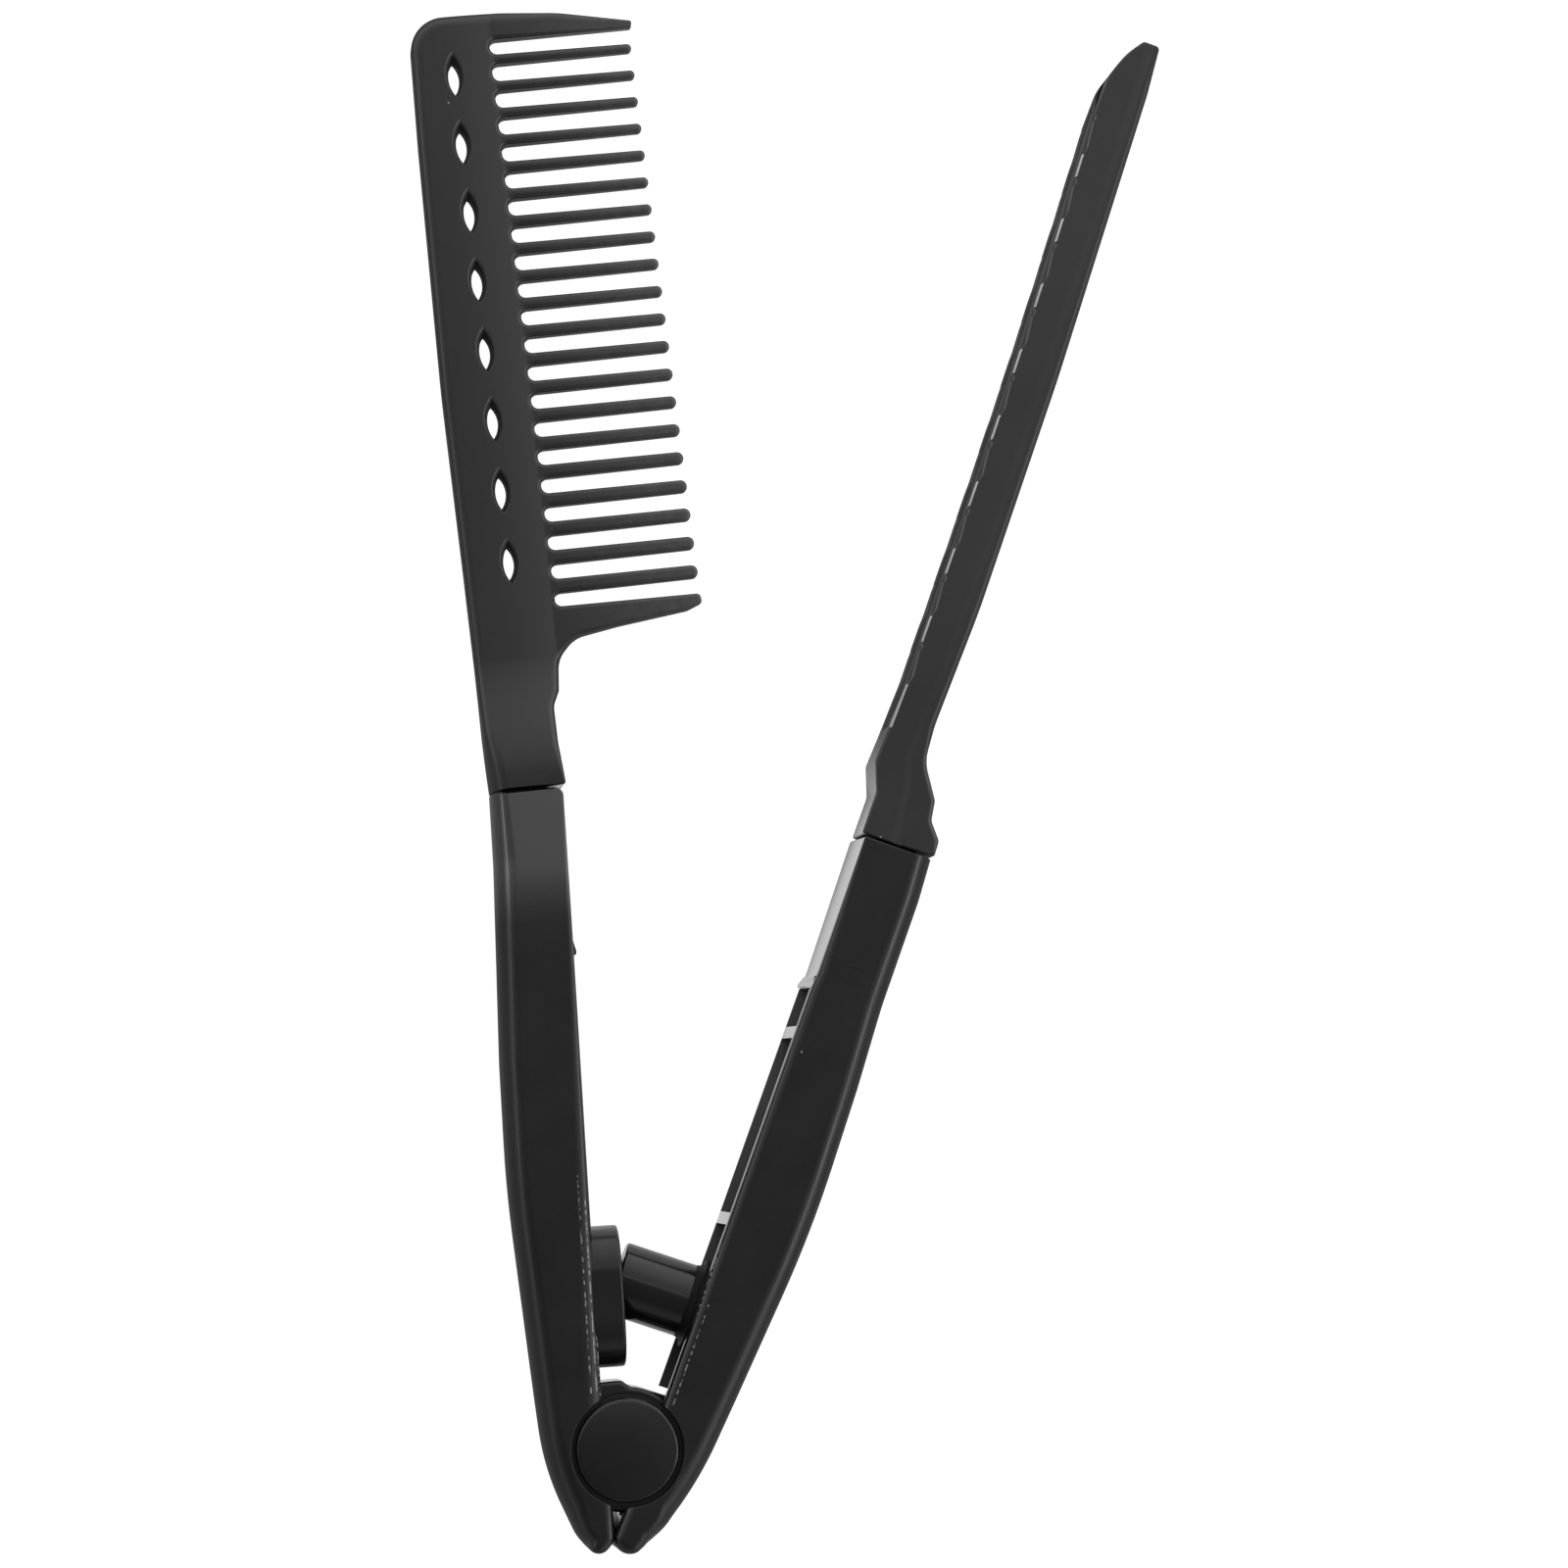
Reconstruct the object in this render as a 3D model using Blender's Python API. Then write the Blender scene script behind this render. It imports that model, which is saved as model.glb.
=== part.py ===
# Folding comb for straightening hair, lying flat and fully open.
# Two arms turn about one hinge: a comb on the left and a slotted blade on the right.
# Lengths are in millimetres until a mesh is made, and angles are in degrees.
# Each arm is drawn upright beside the hinge: u points right, v points up the arm.

import math

import bmesh
import bpy
from mathutils import Vector

MM = 0.001
GAP = 0.3

# An arc is split every so many degrees, by its radius: (radius up to, degrees)
ARC_STEPS = ((1.1, 45), (1.5, 30), (4, 18), (10, 9), (1000, 5))

# Plastics: grey level and roughness
PLASTICS = {
    "comb_black": (0.030, 0.42),
    "handle_black": (0.022, 0.40),
    "blade_black": (0.028, 0.40),
    "cup_black": (0.026, 0.34),
    "post_black": (0.026, 0.24),
    "hinge_black": (0.025, 0.32),
}

# The hinge axis in the world, and how far each arm leans from straight up
HINGE_X = -25.68
HINGE_Y = -108.04
COMB_LEAN = 6.2
BLADE_LEAN = -18.3

# Handles
HANDLE_DEPTH = 16.0
HANDLE_EDGE = 1.5
HANDLE_OUTER_EDGE = 2.4
SIDE_WALL = 1.85
OUTER_WALL = 2.0
SEAM = 106.3
BLADE_SEAM = 105.1
CHANNEL_TOP = 78.6
COMB_CHANNEL_END = 11.8
BLADE_CHANNEL_END = 10.9
RIB_TOP = (72.6, 40.9)
RIB_HEIGHT = 2.0
OUTER_SIDE = 6.0
PAST_FACE = 9.5

# A small wedge across each inner face: heights above the channel's top, then how far it stands out
NUB_FOOT = 3.2
NUB_PEAK = 1.1
NUB_LIP = 0.6
NUB_UNDER = 0.5
NUB_SUNK = 1.2
COMB_NUB_RISE = 0.5
BLADE_NUB_RISE = 0.25
NUB_LIP_SHARE = 0.7

# Tangs under the comb and the blade, which fill sockets in the handles: u, u, v, v
COMB_TANG = (-8.3, -1.3, 98.0, 110.0)
BLADE_TANG = (7.5, 14.5, 97.0, 108.5)
TANG_HALF = 2.5

# Hinge
BARREL_RADIUS = 10.0
BORE_RADIUS = 10.5
CAP_RADIUS = 8.27
CAP_SEAT_RADIUS = 9.05
CAP_TOP = 16.2
CAP_BACK = 0.2
CAP_SIDES = 44
PIN_RADIUS = 3.0
PIN_CHAMFER = 0.3
PIN_SHORT = 0.1
BORE_SIDES = 32
# The caps' rounded rim: (in from the side, down from the face)
CAP_RIM = ((0.0, 0.6), (0.18, 0.2), (0.7, 0.0))
EAR_TOP = 13.2
KNUCKLE_HALF = 2.1
EAR_TRIM = 0.15  # the ears start this much too thick, and the cap seats cut them level
ROOM_OVERLAP = 0.1
SEAT_ABOVE_KNUCKLE = 1.0
LUG_WEB = 6.0
SHOULDER_TOP = 11.05
WINDOW_LOW = 8.5
WINDOW_TOP = 11.05
WINDOW_FLOOR = 9.85
WINDOW_SIDES = (-1.0, 5.5)
WINDOW_ABOVE_EAR = 0.2

# Comb head
SPINE_HALF = 3.4
SPINE_END = -5.0
SLOT_START = 2.6
TEETH_END = 26.8
SLOT_HALF = 1.8
TIP_HALF = 1.0
NECK_HALF = 7.2
NECK_TOP = 128.0
NECK_FLAT = 109.5
NECK_CUTS = (110, 113, 116, 119, 122, 125, 128)
TEETH_BETWEEN = 20
FIRST_TIP = 225.8
TIP_PITCH = 4.404
TIP_PITCH_GROWTH = 0.0078
TOOTH_DROP = 0.08
TOOTH_DROP_GROWTH = 0.0085
TOOTH_WIDTH = 1.53
TOOTH_WIDTH_GROWTH = 0.0375
TOOTH_EDGE = 0.4
TOOTH_ROOT = 2.0
TOOTH_ROOT_GROWTH = 0.055
TOOTH_END = 25.1
TOOTH_END_GROWTH = 0.088
SLOT_ROUND = 1.2
SPINE_EDGE = 1.7
HOLES = 8
HOLE_MIDDLE = -4.3
HOLE_LEAN = 0.09
HOLE_TOP = 223.1
HOLE_PITCH = 11.12
HOLE_PITCH_GROWTH = 0.035
HOLE_MOUTH = (4.4, 7.7)
HOLE_THROAT = (2.2, 5.1)
HOLE_PAST = 0.8

# Blade
BLADE_DEPTH = 14.6
BLADE_PLATE = 3.0
BLADE_CREST = 3.95
BLADE_BOW = 0.7
BLADE_BOW_ENDS = (126.0, 238.0)
BLADE_SLOT = (123.4, 236.8)
NOTCHES = 9
NOTCH_TOP = 229.5
NOTCH_PITCH = 11.15
NOTCH_PITCH_GROWTH = 0.0407
NOTCH_DEPTH = (0.25, 0.62)
NOTCH_LENGTH = 5.6
NOTCH_RAMP = 1.7
NOTCH_SLOPE = 0.15
NOTCH_ROUND = 1.5
NOTCH_EDGE = 0.3
PANEL_STEP = 0.3
# The line on the blade's faces where the raised inner part ends, as (u, v)
CREASE = (
    (9.75, 104.0),
    (9.6, 111.0),
    (9.2, 114.6),
    (8.1, 118.6),
    (8.2, 126.0),
    (8.9, 136.0),
    (9.5, 158.0),
    (9.6, 196.0),
    (9.3, 246.0),
)

# Spring post and the cup that it enters
POST_RADIUS = 5.95
POST_AT = 25.4
POST_TIP = -9.9
POST_ROOT = 12.9
POST_SIDES = 40
POST_CHAMFER = 0.5
CUP_AT = 24.5
CUP_HALF = (11.35, 7.4)
CUP_BORE_HALF = (8.9, 6.25)
CUP_HEIGHT = 4.55
CUP_BORE_DEEP = 6.0
CUP_TAB = 1.6
CUP_TAB_IN = 0.4
CUP_TAB_REACH = (-3.0, 1.2)
CUP_ROUND = 0.5


def clear_scene():
    for old in list(bpy.data.objects):
        bpy.data.objects.remove(old, do_unlink=True)
    for old in list(bpy.data.materials):
        bpy.data.materials.remove(old)


def plastic(name):
    if name in bpy.data.materials:
        return bpy.data.materials[name]
    grey, roughness = PLASTICS[name]
    material = bpy.data.materials.new(name)
    material.use_nodes = True
    shader = material.node_tree.nodes["Principled BSDF"]
    shader.inputs["Base Color"].default_value = (grey, grey, grey * 1.02, 1.0)
    shader.inputs["Roughness"].default_value = roughness
    shader.inputs["Metallic"].default_value = 0.0
    return material


def empty(name, lean):
    turned = bpy.data.objects.new(name, None)
    turned.location = (HINGE_X * MM, HINGE_Y * MM, HANDLE_DEPTH / 2 * MM)
    turned.rotation_euler[2] = math.radians(lean)
    turned.empty_display_size = 0.02
    bpy.context.scene.collection.objects.link(turned)
    return turned


def add_helper(name, shape, parent):
    # A shape that a Boolean adds or cuts, not a piece of its own
    return add_object(name, to_mesh(name, shape), parent)


def add_object(name, mesh, parent, material=None):
    made = bpy.data.objects.new(name, mesh)
    made.parent = parent
    bpy.context.scene.collection.objects.link(made)
    if material:
        mesh.materials.append(material)
        for face in mesh.polygons:
            face.use_smooth = True
        mesh.set_sharp_from_angle(angle=math.radians(35))
    else:
        made.hide_render = True
        made.display_type = "WIRE"
    return made


def combine(target, operation, other):
    step = target.modifiers.new(operation.lower() + "_" + other.name, "BOOLEAN")
    step.operation = operation
    step.solver = "EXACT"
    step.object = other


def shade_evenly(piece):
    # Large flat faces keep a flat shade beside their rounded edges
    step = piece.modifiers.new("even_shading", "WEIGHTED_NORMAL")
    step.keep_sharp = True


# Outlines: a corner is (u, v, fillet radius, edge rounding), listed anticlockwise


def fillet(before, at, after, radius):
    if radius <= 0:
        return [at]
    back = (before - at).normalized()
    on = (after - at).normalized()
    turn = math.pi - back.angle(on)
    reach = radius * math.tan(turn / 2)
    start = at + back * reach
    centre = at + (back + on).normalized() * (radius / math.cos(turn / 2))
    side = 1 if on.x * back.y - on.y * back.x > 0 else -1
    degrees = next(step for limit, step in ARC_STEPS if radius <= limit)
    steps = max(1, round(math.degrees(turn) / degrees))
    arm = start - centre
    arc = []
    for step in range(steps + 1):
        angle = side * turn * step / steps
        cos, sin = math.cos(angle), math.sin(angle)
        arc.append(centre + Vector((arm.x * cos - arm.y * sin, arm.x * sin + arm.y * cos)))
    return arc


def outline(corners):
    points, edges = [], []
    count = len(corners)
    for i, (u, v, radius, edge) in enumerate(corners):
        before = Vector(corners[i - 1][:2])
        after = Vector(corners[(i + 1) % count][:2])
        arc = fillet(before, Vector((u, v)), after, radius)
        points += arc
        edges += [edge] * len(arc)
    return points, edges


def inset(points, distances):
    moved = []
    count = len(points)
    for i, point in enumerate(points):
        arriving = (point - points[i - 1]).normalized()
        leaving = (points[(i + 1) % count] - point).normalized()
        first = Vector((-arriving.y, arriving.x))
        second = Vector((-leaving.y, leaving.x))
        mitre = (first + second) / max(0.3, 1 + first.dot(second))
        moved.append(point + mitre * distances[i])
    return moved


def loft(rings):
    shape = bmesh.new()
    made = []
    for ring in rings:
        made.append([shape.verts.new(Vector(point) * MM) for point in ring])
    count = len(rings[0])
    for low, high in zip(made, made[1:]):
        for i in range(count):
            j = (i + 1) % count
            shape.faces.new((low[i], low[j], high[j], high[i]))
    shape.faces.new(reversed(made[0]))
    shape.faces.new(made[-1])
    return shape


def to_mesh(name, shape):
    mesh = bpy.data.meshes.new(name)
    bmesh.ops.recalc_face_normals(shape, faces=shape.faces[:])
    shape.to_mesh(mesh)
    shape.free()
    return mesh


def flat_ring(points, height):
    return [(point.x, point.y, height) for point in points]


def prism(points, bottom, top):
    return loft([flat_ring(points, bottom), flat_ring(points, top)])


def rounded_plate(corners, half, steps):
    # A plate about the middle plane, its rim rounded by each corner's edge radius
    points, edges = outline(corners)
    upper = []
    for step in range(steps + 1):
        angle = math.pi / 2 * step / steps
        moved = inset(points, [edge * (1 - math.cos(angle)) for edge in edges])
        drop = [edge * (1 - math.sin(angle)) for edge in edges]
        upper.append([(p.x, p.y, half - d) for p, d in zip(moved, drop)])
    lower = [[(u, v, -height) for u, v, height in ring] for ring in reversed(upper)]
    return loft(lower + upper)


def cylinder(centre, radius, bottom, top, sides=48):
    ring = []
    for i in range(sides):
        angle = 2 * math.pi * i / sides
        ring.append(Vector((centre[0] + radius * math.cos(angle), centre[1] + radius * math.sin(angle))))
    return prism(ring, bottom, top)


def box(u0, u1, v0, v1, z0, z1):
    corners = [Vector(p) for p in ((u0, v0), (u1, v0), (u1, v1), (u0, v1))]
    return prism(corners, z0, z1)


def tang_box(sides, grow):
    u0, u1, v0, v1 = sides
    half = TANG_HALF + grow
    return box(u0 - grow, u1 + grow, v0 - grow, v1 + grow, -half, half)


def joined(shapes):
    # Only for cutters: shapes that stay apart from one another, in one mesh
    whole = bmesh.new()
    for shape in shapes:
        scrap = bpy.data.meshes.new("scrap")
        shape.to_mesh(scrap)
        shape.free()
        whole.from_mesh(scrap)
        bpy.data.meshes.remove(scrap)
    return whole


def middle(height):
    # Heights above the floor become heights about the middle plane
    return height - HANDLE_DEPTH / 2


# Comb head


def between(value, low, high):
    return min(1.0, max(0.0, (value - low) / (high - low)))


def comb_half(u, v):
    # Half the thickness of the comb: thick spine, thin teeth, and a neck as deep as the handle
    if u < SLOT_START:
        part = between(u, SPINE_END, SLOT_START)
        half = SPINE_HALF + (SLOT_HALF - SPINE_HALF) * part
    else:
        half = SLOT_HALF + (TIP_HALF - SLOT_HALF) * between(u, SLOT_START, TEETH_END)
    rise = 1 - between(v, NECK_FLAT, NECK_TOP)
    return half + (NECK_HALF - half) * rise * rise * (3 - 2 * rise)


def tooth_tip(i):
    return FIRST_TIP - TIP_PITCH * i - TIP_PITCH_GROWTH * i * i


def tooth_corners(i):
    # One tooth: up out of the slot below it, round its tip, and back to the slot above it
    half = (TOOTH_WIDTH + TOOTH_WIDTH_GROWTH * i) / 2
    tip = tooth_tip(i)
    root = tip - TOOTH_DROP - TOOTH_DROP_GROWTH * i
    start = TOOTH_ROOT + TOOTH_ROOT_GROWTH * i
    end = TOOTH_END + TOOTH_END_GROWTH * i
    return [
        (start, root - half, SLOT_ROUND, TOOTH_EDGE),
        (end, tip - half, half * 0.92, TOOTH_EDGE),
        (end, tip + half, half * 0.92, TOOTH_EDGE),
        (start, root + half, SLOT_ROUND, TOOTH_EDGE),
    ]


def comb_corners():
    neck = [
        (-10.6, SEAM + GAP, 0.45, 0.35),
        (1.5, SEAM + GAP, 0.5, 0.35),
        (1.0, 113.5, 8, 1.1),
        (1.05, 119.6, 3, 1.1),
        (2.2, 122.0, 1.2, 1.1),
        (2.75, 127.2, 5, 1.1),
        (5.7, 130.4, 5, 0.9),
        (13.0, 131.65, 20, 0.7),
        (24.4, 133.05, 3, TOOTH_EDGE),
        (27.0, 134.1, 0.7, TOOTH_EDGE),
        (26.8, 135.75, 0.5, TOOTH_EDGE),
        (3.1, 135.7, SLOT_ROUND, TOOTH_EDGE),
    ]
    teeth = []
    for i in reversed(range(TEETH_BETWEEN)):
        teeth += tooth_corners(i)
    top = [
        (2.0, 229.15, SLOT_ROUND, TOOTH_EDGE),
        (25.4, 229.25, 0.4, 0.25),
        (25.6, 230.3, 0.4, 0.25),
        (14.0, 232.6, 30, 0.8),
        (4.0, 233.4, 30, 1.0),
        (-10.7, 233.25, 5.6, SPINE_EDGE),
        (-11.2, 212.0, 60, SPINE_EDGE),
        (-11.6, 172.0, 200, SPINE_EDGE),
        (-11.1, 142.0, 100, SPINE_EDGE),
        (-10.75, 113.0, 20, SPINE_EDGE),
    ]
    return neck + teeth + top


def lens(size):
    # Two arcs that meet in a point above and below
    half_width, half_height = size[0] / 2, size[1] / 2
    radius = (half_width**2 + half_height**2) / (2 * half_width)
    sweep = math.asin(half_height / radius)
    steps = 5
    side = []
    for step in range(steps):
        angle = -sweep + 2 * sweep * step / steps
        side.append((radius * math.cos(angle) - radius + half_width, radius * math.sin(angle)))
    return side + [(-u, -v) for u, v in side]


def hole_cutter(i):
    v = HOLE_TOP - HOLE_PITCH * i - HOLE_PITCH_GROWTH * i * i
    u = HOLE_MIDDLE + HOLE_LEAN * i
    reach = SPINE_HALF + HOLE_PAST
    grow = reach / SPINE_HALF
    wide = [t + (m - t) * grow for m, t in zip(HOLE_MOUTH, HOLE_THROAT)]
    rings = []
    for height, size in ((-reach, wide), (0.0, HOLE_THROAT), (reach, wide)):
        rings.append([(u + a, v + b, height) for a, b in lens(size)])
    return loft(rings)


def make_comb_head(parent):
    shape = rounded_plate(comb_corners(), NECK_HALF, 2)
    cuts = [((u, 0), (1, 0)) for u in (SPINE_END, SLOT_START)]
    cuts += [((0, v), (0, 1)) for v in NECK_CUTS]
    for at, normal in cuts:
        everything = shape.verts[:] + shape.edges[:] + shape.faces[:]
        bmesh.ops.bisect_plane(
            shape,
            geom=everything,
            plane_co=(at[0] * MM, at[1] * MM, 0),
            plane_no=(normal[0], normal[1], 0),
        )
    for vert in shape.verts:
        half = comb_half(vert.co.x / MM, vert.co.y / MM)
        side = 1 if vert.co.z > 0 else -1
        vert.co.z -= side * (NECK_HALF - half) * MM
    head = add_object("comb_head", to_mesh("comb_head", shape), parent, plastic("comb_black"))
    tang = add_helper("comb_tang", tang_box(COMB_TANG, 0), parent)
    combine(head, "UNION", tang)
    holes = joined([hole_cutter(i) for i in range(HOLES)])
    cutter = add_helper("comb_hole_cutter", holes, parent)
    combine(head, "DIFFERENCE", cutter)
    shade_evenly(head)
    return head


# Handles


def comb_handle_corners():
    outer = HANDLE_OUTER_EDGE
    return [
        (0.95, SEAM, 1.4, 0.5),
        (-10.6, SEAM, 0.8, 0.6),
        (-11.1, 95.0, 60, outer),
        (-13.25, 65.0, 60, outer),
        (-14.35, 43.0, 60, outer),
        (-13.4, 10.0, 60, outer),
        (-12.85, -1.5, 12, outer),
        (-8.95, -13.55, 6, outer),
        (-6.3, -17.0, 2.2, 1.6),
        (-3.7, -13.6, 2.4, HANDLE_EDGE),
        (-3.7, -8.0, 6, HANDLE_EDGE),
        (-3.3, 6.0, 0, HANDLE_EDGE),
    ]


def blade_handle_corners():
    outer = HANDLE_OUTER_EDGE
    return [
        (4.7, BLADE_SEAM, 0.5, 0.4),
        (4.42, 82.0, 0, HANDLE_EDGE),
        (4.1, 79.0, 0, HANDLE_EDGE),
        (2.45, 8.0, 0, HANDLE_EDGE),
        (1.95, -13.6, 2.0, HANDLE_EDGE),
        (5.2, -17.0, 2.2, 1.6),
        (9.3, -11.2, 14, outer),
        (12.6, -1.0, 14, outer),
        (14.2, 12.7, 60, outer),
        (17.35, 42.0, 40, outer),
        (17.35, 66.0, 60, outer),
        (17.0, 80.0, 60, outer),
        (17.35, 98.0, 40, outer),
        (17.1, BLADE_SEAM, 0.8, 0.6),
    ]


def inner_face(ends, v):
    # Where the handle's inner face lies at this height, on the line between two (u, v) points
    (u0, v0), (u1, v1) = ends
    return u0 + (u1 - u0) * (v - v0) / (v1 - v0)


COMB_FACE = ((0.95, SEAM), (-3.3, 6.0))
BLADE_FACE = ((4.42, 82.0), (4.1, 79.0))


def pocket(corners, side, low, high):
    # The hollow between the side walls, from past the inner face to the outer wall
    points, edges = outline([(u, v, radius, 0) for u, v, radius, edge in corners])
    wall = [p for p in inset(points, [OUTER_WALL] * len(points)) if side * p.x > OUTER_SIDE]
    wall.sort(key=lambda p: p.y)
    heights = [low] + [p.y for p in wall if low < p.y < high] + [high]
    far = []
    for v in heights:
        for a, b in zip(wall, wall[1:]):
            if a.y <= v <= b.y:
                part = (v - a.y) / max(1e-9, b.y - a.y)
                far.append(Vector((a.x + (b.x - a.x) * part, v)))
                break
    near = [Vector((-side * OUTER_SIDE, high)), Vector((-side * OUTER_SIDE, low))]
    half = HANDLE_DEPTH / 2 - SIDE_WALL
    return prism(far + near, -half, half)


def pockets(corners, side, end):
    tops = (CHANNEL_TOP,) + tuple(top - RIB_HEIGHT for top in RIB_TOP)
    ends = RIB_TOP + (end,)
    return [pocket(corners, side, low, high) for high, low in zip(tops, ends)]


def nub(face, side, rise):
    # A small wedge across the inner face that rises toward the open channel and ends above it
    profile = (
        (NUB_FOOT, 0.0),
        (NUB_PEAK, rise),
        (NUB_LIP, rise * NUB_LIP_SHARE),
        (NUB_UNDER, -NUB_SUNK),
        (NUB_FOOT, -NUB_SUNK),
    )
    points = []
    for above, proud in profile:
        v = CHANNEL_TOP + above
        points.append(Vector((inner_face(face, v) - side * proud, v)))
    half = HANDLE_DEPTH / 2 - HANDLE_EDGE
    return prism(points, -half, half)


def barrel_arc(start, sweep, steps=34):
    ring = []
    for step in range(steps + 1):
        angle = math.radians(start + sweep * step / steps)
        ring.append(Vector((BARREL_RADIUS * math.cos(angle), BARREL_RADIUS * math.sin(angle))))
    return ring


def ear_outline():
    # Round, with a raised shoulder toward the comb handle
    corners = ((1.1, 10.35), (0.4, 10.95), (-0.6, SHOULDER_TOP), (-LUG_WEB, SHOULDER_TOP))
    shoulder = [Vector(corner) for corner in corners]
    end = math.degrees(math.acos(-LUG_WEB / BARREL_RADIUS))
    return shoulder + barrel_arc(end, 360 + 80 - end)


def knuckle_outline():
    # Round, with a flat shoulder toward the blade handle
    end = math.degrees(math.acos(LUG_WEB / BARREL_RADIUS))
    return [Vector((LUG_WEB, BARREL_RADIUS))] + barrel_arc(90, 270 + end)


def window_cutter():
    # Opens the channel's lower end above the knuckle, and the back wall further down
    front = middle(EAR_TOP) + WINDOW_ABOVE_EAR
    profile = [
        (WINDOW_LOW, -PAST_FACE),
        (WINDOW_TOP, -PAST_FACE),
        (WINDOW_TOP, front),
        (WINDOW_FLOOR, front),
        (WINDOW_FLOOR, -middle(EAR_TOP)),
        (WINDOW_LOW, -middle(EAR_TOP)),
    ]
    return loft([across(profile, side, 0) for side in WINDOW_SIDES])


def make_comb_handle(parent):
    corners = comb_handle_corners()
    name = "comb_handle"
    shape = rounded_plate(corners, HANDLE_DEPTH / 2, 3)
    handle = add_object(name, to_mesh(name, shape), parent, plastic("handle_black"))
    wedge = add_helper("comb_nub", nub(COMB_FACE, -1, COMB_NUB_RISE), parent)
    combine(handle, "UNION", wedge)
    reach = middle(EAR_TOP) + EAR_TRIM
    ears = prism(ear_outline(), -reach, reach)
    ears = add_helper("comb_ears", ears, parent)
    combine(handle, "UNION", ears)
    hollow = joined(pockets(corners, -1, COMB_CHANNEL_END))
    hollow = add_helper("comb_pockets", hollow, parent)
    combine(handle, "DIFFERENCE", hollow)
    slot = cylinder((0, 0), BORE_RADIUS, -KNUCKLE_HALF - GAP, KNUCKLE_HALF + GAP)
    slot = add_helper("comb_knuckle_slot", slot, parent)
    combine(handle, "DIFFERENCE", slot)
    seats = joined([
        cylinder((0, 0), CAP_SEAT_RADIUS, middle(EAR_TOP), PAST_FACE),
        cylinder((0, 0), CAP_SEAT_RADIUS, -PAST_FACE, -middle(EAR_TOP)),
    ])
    seats = add_helper("comb_cap_seats", seats, parent)
    combine(handle, "DIFFERENCE", seats)
    bores = joined([
        cylinder((0, 0), PIN_RADIUS + GAP, -PAST_FACE, PAST_FACE, BORE_SIDES),
        tang_box(COMB_TANG, GAP),
    ])
    bores = add_helper("comb_handle_bores", bores, parent)
    combine(handle, "DIFFERENCE", bores)
    shade_evenly(handle)
    return handle


def make_blade_handle(parent):
    corners = blade_handle_corners()
    name = "blade_handle"
    shape = rounded_plate(corners, HANDLE_DEPTH / 2, 3)
    handle = add_object(name, to_mesh(name, shape), parent, plastic("handle_black"))
    wedge = add_helper("blade_nub", nub(BLADE_FACE, 1, BLADE_NUB_RISE), parent)
    combine(handle, "UNION", wedge)
    hollow = joined(pockets(corners, 1, BLADE_CHANNEL_END))
    hollow = add_helper("blade_pockets", hollow, parent)
    combine(handle, "DIFFERENCE", hollow)
    wall = HANDLE_DEPTH / 2 - SIDE_WALL
    floor = KNUCKLE_HALF - ROOM_OVERLAP
    rooms = joined([
        cylinder((0, 0), BORE_RADIUS, floor, wall),
        cylinder((0, 0), BORE_RADIUS, -wall, -floor),
    ])
    rooms = add_helper("blade_ear_rooms", rooms, parent)
    combine(handle, "DIFFERENCE", rooms)
    start = KNUCKLE_HALF + SEAT_ABOVE_KNUCKLE
    seats = joined([
        cylinder((0, 0), CAP_SEAT_RADIUS, start, PAST_FACE),
        cylinder((0, 0), CAP_SEAT_RADIUS, -PAST_FACE, -start),
    ])
    seats = add_helper("blade_cap_seats", seats, parent)
    combine(handle, "DIFFERENCE", seats)
    window = add_helper("blade_window", window_cutter(), parent)
    combine(handle, "DIFFERENCE", window)
    knuckle = prism(knuckle_outline(), -KNUCKLE_HALF, KNUCKLE_HALF)
    knuckle = add_helper("blade_knuckle", knuckle, parent)
    combine(handle, "UNION", knuckle)
    bores = joined([
        cylinder((0, 0), PIN_RADIUS + GAP, -PAST_FACE, PAST_FACE, BORE_SIDES),
        tang_box(BLADE_TANG, GAP),
    ])
    bores = add_helper("blade_handle_bores", bores, parent)
    combine(handle, "DIFFERENCE", bores)
    shade_evenly(handle)
    return handle


# Hinge pin and caps


def turned(profile, sides):
    # A round piece about the hinge axis, from (radius, height) points going up
    rings = []
    for radius, height in profile:
        ring = []
        for i in range(sides):
            angle = 2 * math.pi * i / sides
            ring.append((radius * math.cos(angle), radius * math.sin(angle), height))
        rings.append(ring)
    return loft(rings)


def make_hinge_pin(parent):
    under, top = middle(EAR_TOP) + GAP, middle(CAP_TOP)
    end = PIN_SHORT - middle(EAR_TOP)
    profile = [
        (PIN_RADIUS - PIN_CHAMFER, end),
        (PIN_RADIUS, end + PIN_CHAMFER),
        (PIN_RADIUS, under),
        (CAP_RADIUS, under),
    ]
    profile += [(CAP_RADIUS - inward, top - down) for inward, down in CAP_RIM]
    mesh = to_mesh("hinge_pin", turned(profile, CAP_SIDES))
    return add_object("hinge_pin", mesh, parent, plastic("hinge_black"))


def make_back_cap(parent):
    under, top = middle(CAP_BACK), -middle(EAR_TOP) - GAP
    profile = [(CAP_RADIUS - inward, under + up) for inward, up in reversed(CAP_RIM)]
    profile.append((CAP_RADIUS, top))
    mesh = to_mesh("hinge_cap_back", turned(profile, CAP_SIDES))
    return add_object("hinge_cap_back", mesh, parent, plastic("hinge_black"))


# Blade


def crest(v):
    # The inner edge bows a little away from the comb in the middle of its length
    return BLADE_CREST + BLADE_BOW * math.sin(math.pi * between(v, *BLADE_BOW_ENDS))


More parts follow.
